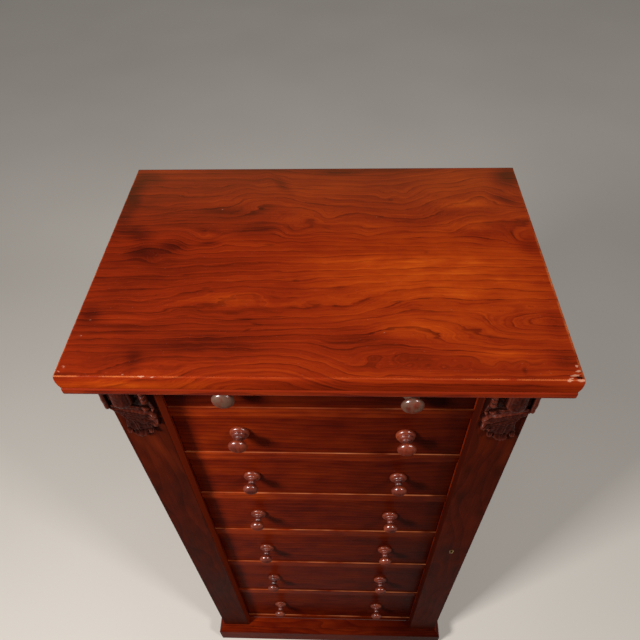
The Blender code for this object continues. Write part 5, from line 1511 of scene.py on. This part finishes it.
class TurnKnobs(bpy.types.Operator):
    """Turn two knobs for each drawer"""

    bl_idname = "chest.turn_knobs"
    bl_label = "Knobs"

    def execute(self, context):
        sizes = context.scene.chest_sizes
        large = knob_tree("Large turned knob", LARGE_KNOB)
        small = knob_tree("Small turned knob", SMALL_KNOB)
        for number in DRAWERS:
            name = f"drawer_{number}"
            nodes = [f"{name}_knob_left", f"{name}_knob_right"]
            face_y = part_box(name + "_front")[0].y
            points = []
            for node in nodes:
                low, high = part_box(node)
                points.append(((low.x + high.x) / 2, face_y, (low.z + high.z) / 2))
            base = high.x - low.x
            head_share = sizes.knob_head_share[min(number, len(sizes.knob_head_share)) - 1]
            knobs = grown(name + "_turned_knobs", points, small if number >= SMALL_KNOBS_FROM else large, {
                "Base Diameter": base, "Head Diameter": base * head_share,
                "Projection": sizes.knob_projection, "Segments": sizes.knob_segments, "Rings": KNOB_RINGS,
            }, "turned")
            put(knobs, name, "turned_knobs", *nodes)
        return {"FINISHED"}


class FinishMetalwork(bpy.types.Operator):
    """Finish the hinges and the lock, and set the screws and nails"""

    bl_idname = "chest.finish_metalwork"
    bl_label = "Metalwork"

    def execute(self, context):
        sizes = context.scene.chest_sizes
        parts = ("leaf_carcass", "leaf_stile", "pin")
        paint("brass", *[f"hinge_{part}_{end}" for part in parts for end in HINGE_ENDS])
        paint("brass", "lock_case", "escutcheon", "lock_bolt", "link_plate")
        low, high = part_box("lock_case")
        inset = LOCK_SCREW_INSET * MM
        lock_screws = [
            (x, high.y, z) for x in (low.x + inset, high.x - inset) for z in (low.z + inset, high.z - inset)
        ]
        stile_screws = leaf_screws("stile", STILE_LEAF_FACE) + lock_screws
        tree = screw_tree()
        for name, body, places, way in (
            ("hinge_screws_carcass", "carcass", leaf_screws("carcass", RAIL_LOW.y), 1),
            ("stile_back_screws", "hinged_stile", stile_screws, -1),
        ):
            sunk = way * (sizes.screw_height / 2 - SCREW_STANDS_OUT * MM)
            screws = grown(name, [(x, y + sunk, z) for x, y, z in places], tree, {
                "Diameter": sizes.screw_diameter, "Slot Width": sizes.screw_diameter * SLOT_SHARE,
                "Height": sizes.screw_height, "Turn": way * math.pi / 2, "Seed": SCREW_SEED,
            }, "brass")
            put(screws, body, "aged_brass")
        inset, y = NAIL_INSET * MM, PANEL_HIGH.y - NAIL_SUNK * MM
        end_up, end_across = NAIL_FROM_END_UP * MM, NAIL_FROM_END_ACROSS * MM
        upward = np.linspace(PANEL_LOW.z + end_up, PANEL_HIGH.z - end_up, NAILS_UP)
        across = np.linspace(PANEL_LOW.x + end_across, PANEL_HIGH.x - end_across, NAILS_ACROSS)
        nails = [(x, y, z) for x in (PANEL_LOW.x + inset, PANEL_HIGH.x - inset) for z in upward]
        nails += [(x, y, z) for z in (PANEL_LOW.z + inset, PANEL_HIGH.z - inset) for x in across]
        heads = grown("back_nails", nails, nail_tree(), {
            "Width": sizes.nail_width, "Height": NAIL_HEIGHT * MM, "Seed": NAIL_SEED,
        }, "iron")
        put(heads, "carcass", "aged_brass")
        return {"FINISHED"}


class SetStage(bpy.types.Operator):
    """Set the floor, the soft lamps, the even room light and the camera"""

    bl_idname = "chest.set_stage"
    bl_label = "Stage"

    def execute(self, context):
        scene = context.scene
        stage = scene.chest_stage
        half = FLOOR_HALF
        corners = [(-half, -half, 0), (half, -half, 0), (half, half, 0), (-half, half, 0)]
        add_piece("studio_floor", corners, [(0, 1, 2, 3)], "floor", smooth=False)

        centre = Vector((0, FRONT_LOW.y, LIT_HEIGHT))
        for side, (direction, distance) in LAMPS.items():
            lamp = bpy.data.lights.new(side + "_lamp", "AREA")
            lamp.energy = getattr(stage, side + "_power")
            lamp.size = getattr(stage, side + "_size")
            holder = linked(side + "_lamp", lamp)
            outward = Vector(direction)
            holder.location = centre + outward.normalized() * distance
            holder.rotation_mode = "QUATERNION"
            holder.rotation_quaternion = (-outward).to_track_quat("-Z", "Y")
        world = bpy.data.worlds.new("even_room_light")
        world.use_nodes = True
        background = world.node_tree.nodes["Background"]
        background.inputs["Color"].default_value = (*stage.room_light, 1.0)
        background.inputs["Strength"].default_value = 1.0
        scene.world = world

        pitch, turn, roll = stage.camera_angles
        right = Vector((math.cos(turn), math.sin(turn), 0))
        level = Vector((-math.sin(turn), math.cos(turn), 0))
        ahead = level * math.cos(pitch) - Vector((0, 0, math.sin(pitch)))
        up = right.cross(ahead)
        across = right * math.cos(roll) + up * math.sin(roll)
        upward = up * math.cos(roll) - right * math.sin(roll)
        facing = Matrix((across, upward, -ahead)).transposed().to_4x4()
        lens = bpy.data.cameras.new("view_from_above")
        lens.lens = stage.lens
        lens.sensor_width = SENSOR_WIDTH
        camera = linked("view_from_above", lens)
        arris = Vector((0, TOP_LOW.y + TOP_PROFILE[-1][1] * MM, TOP_HIGH.z))
        camera.matrix_world = Matrix.Translation(arris + Vector(stage.camera_offset)) @ facing
        scene.camera = camera
        scene.view_settings.view_transform = "Standard"
        return {"FINISHED"}


OPERATORS = (
    MakeTop, FinishCarcass, FinishStiles, CarveCorbels, FinishDrawers, TurnKnobs, FinishMetalwork, SetStage,
)


class ChestPanel(bpy.types.Panel):
    """The chest's sizes and its makers, in the sidebar"""

    bl_idname = "VIEW3D_PT_wellington_chest"
    bl_label = "Wellington Chest"
    bl_space_type = "VIEW_3D"
    bl_region_type = "UI"
    bl_category = "Chest"

    def draw(self, context):
        for operator in OPERATORS:
            self.layout.operator(operator.bl_idname)
        for settings in (context.scene.chest_sizes, context.scene.chest_stage):
            for name in settings.bl_rna.properties.keys():
                if name not in ("rna_type", "name"):
                    self.layout.prop(settings, name)


CLASSES = (ChestSizes, ChestStage, *OPERATORS, ChestPanel)


def register():
    for kind in CLASSES:
        bpy.utils.register_class(kind)
    bpy.types.Scene.chest_sizes = PointerProperty(type=ChestSizes)
    bpy.types.Scene.chest_stage = PointerProperty(type=ChestStage)


def unregister():
    del bpy.types.Scene.chest_stage
    del bpy.types.Scene.chest_sizes
    for kind in reversed(CLASSES):
        bpy.utils.unregister_class(kind)


def main():
    """Runs every operator in order."""
    register()
    for operator in OPERATORS:
        group, name = operator.bl_idname.split(".")
        getattr(getattr(bpy.ops, group), name)()


if __name__ == "__main__":
    main()
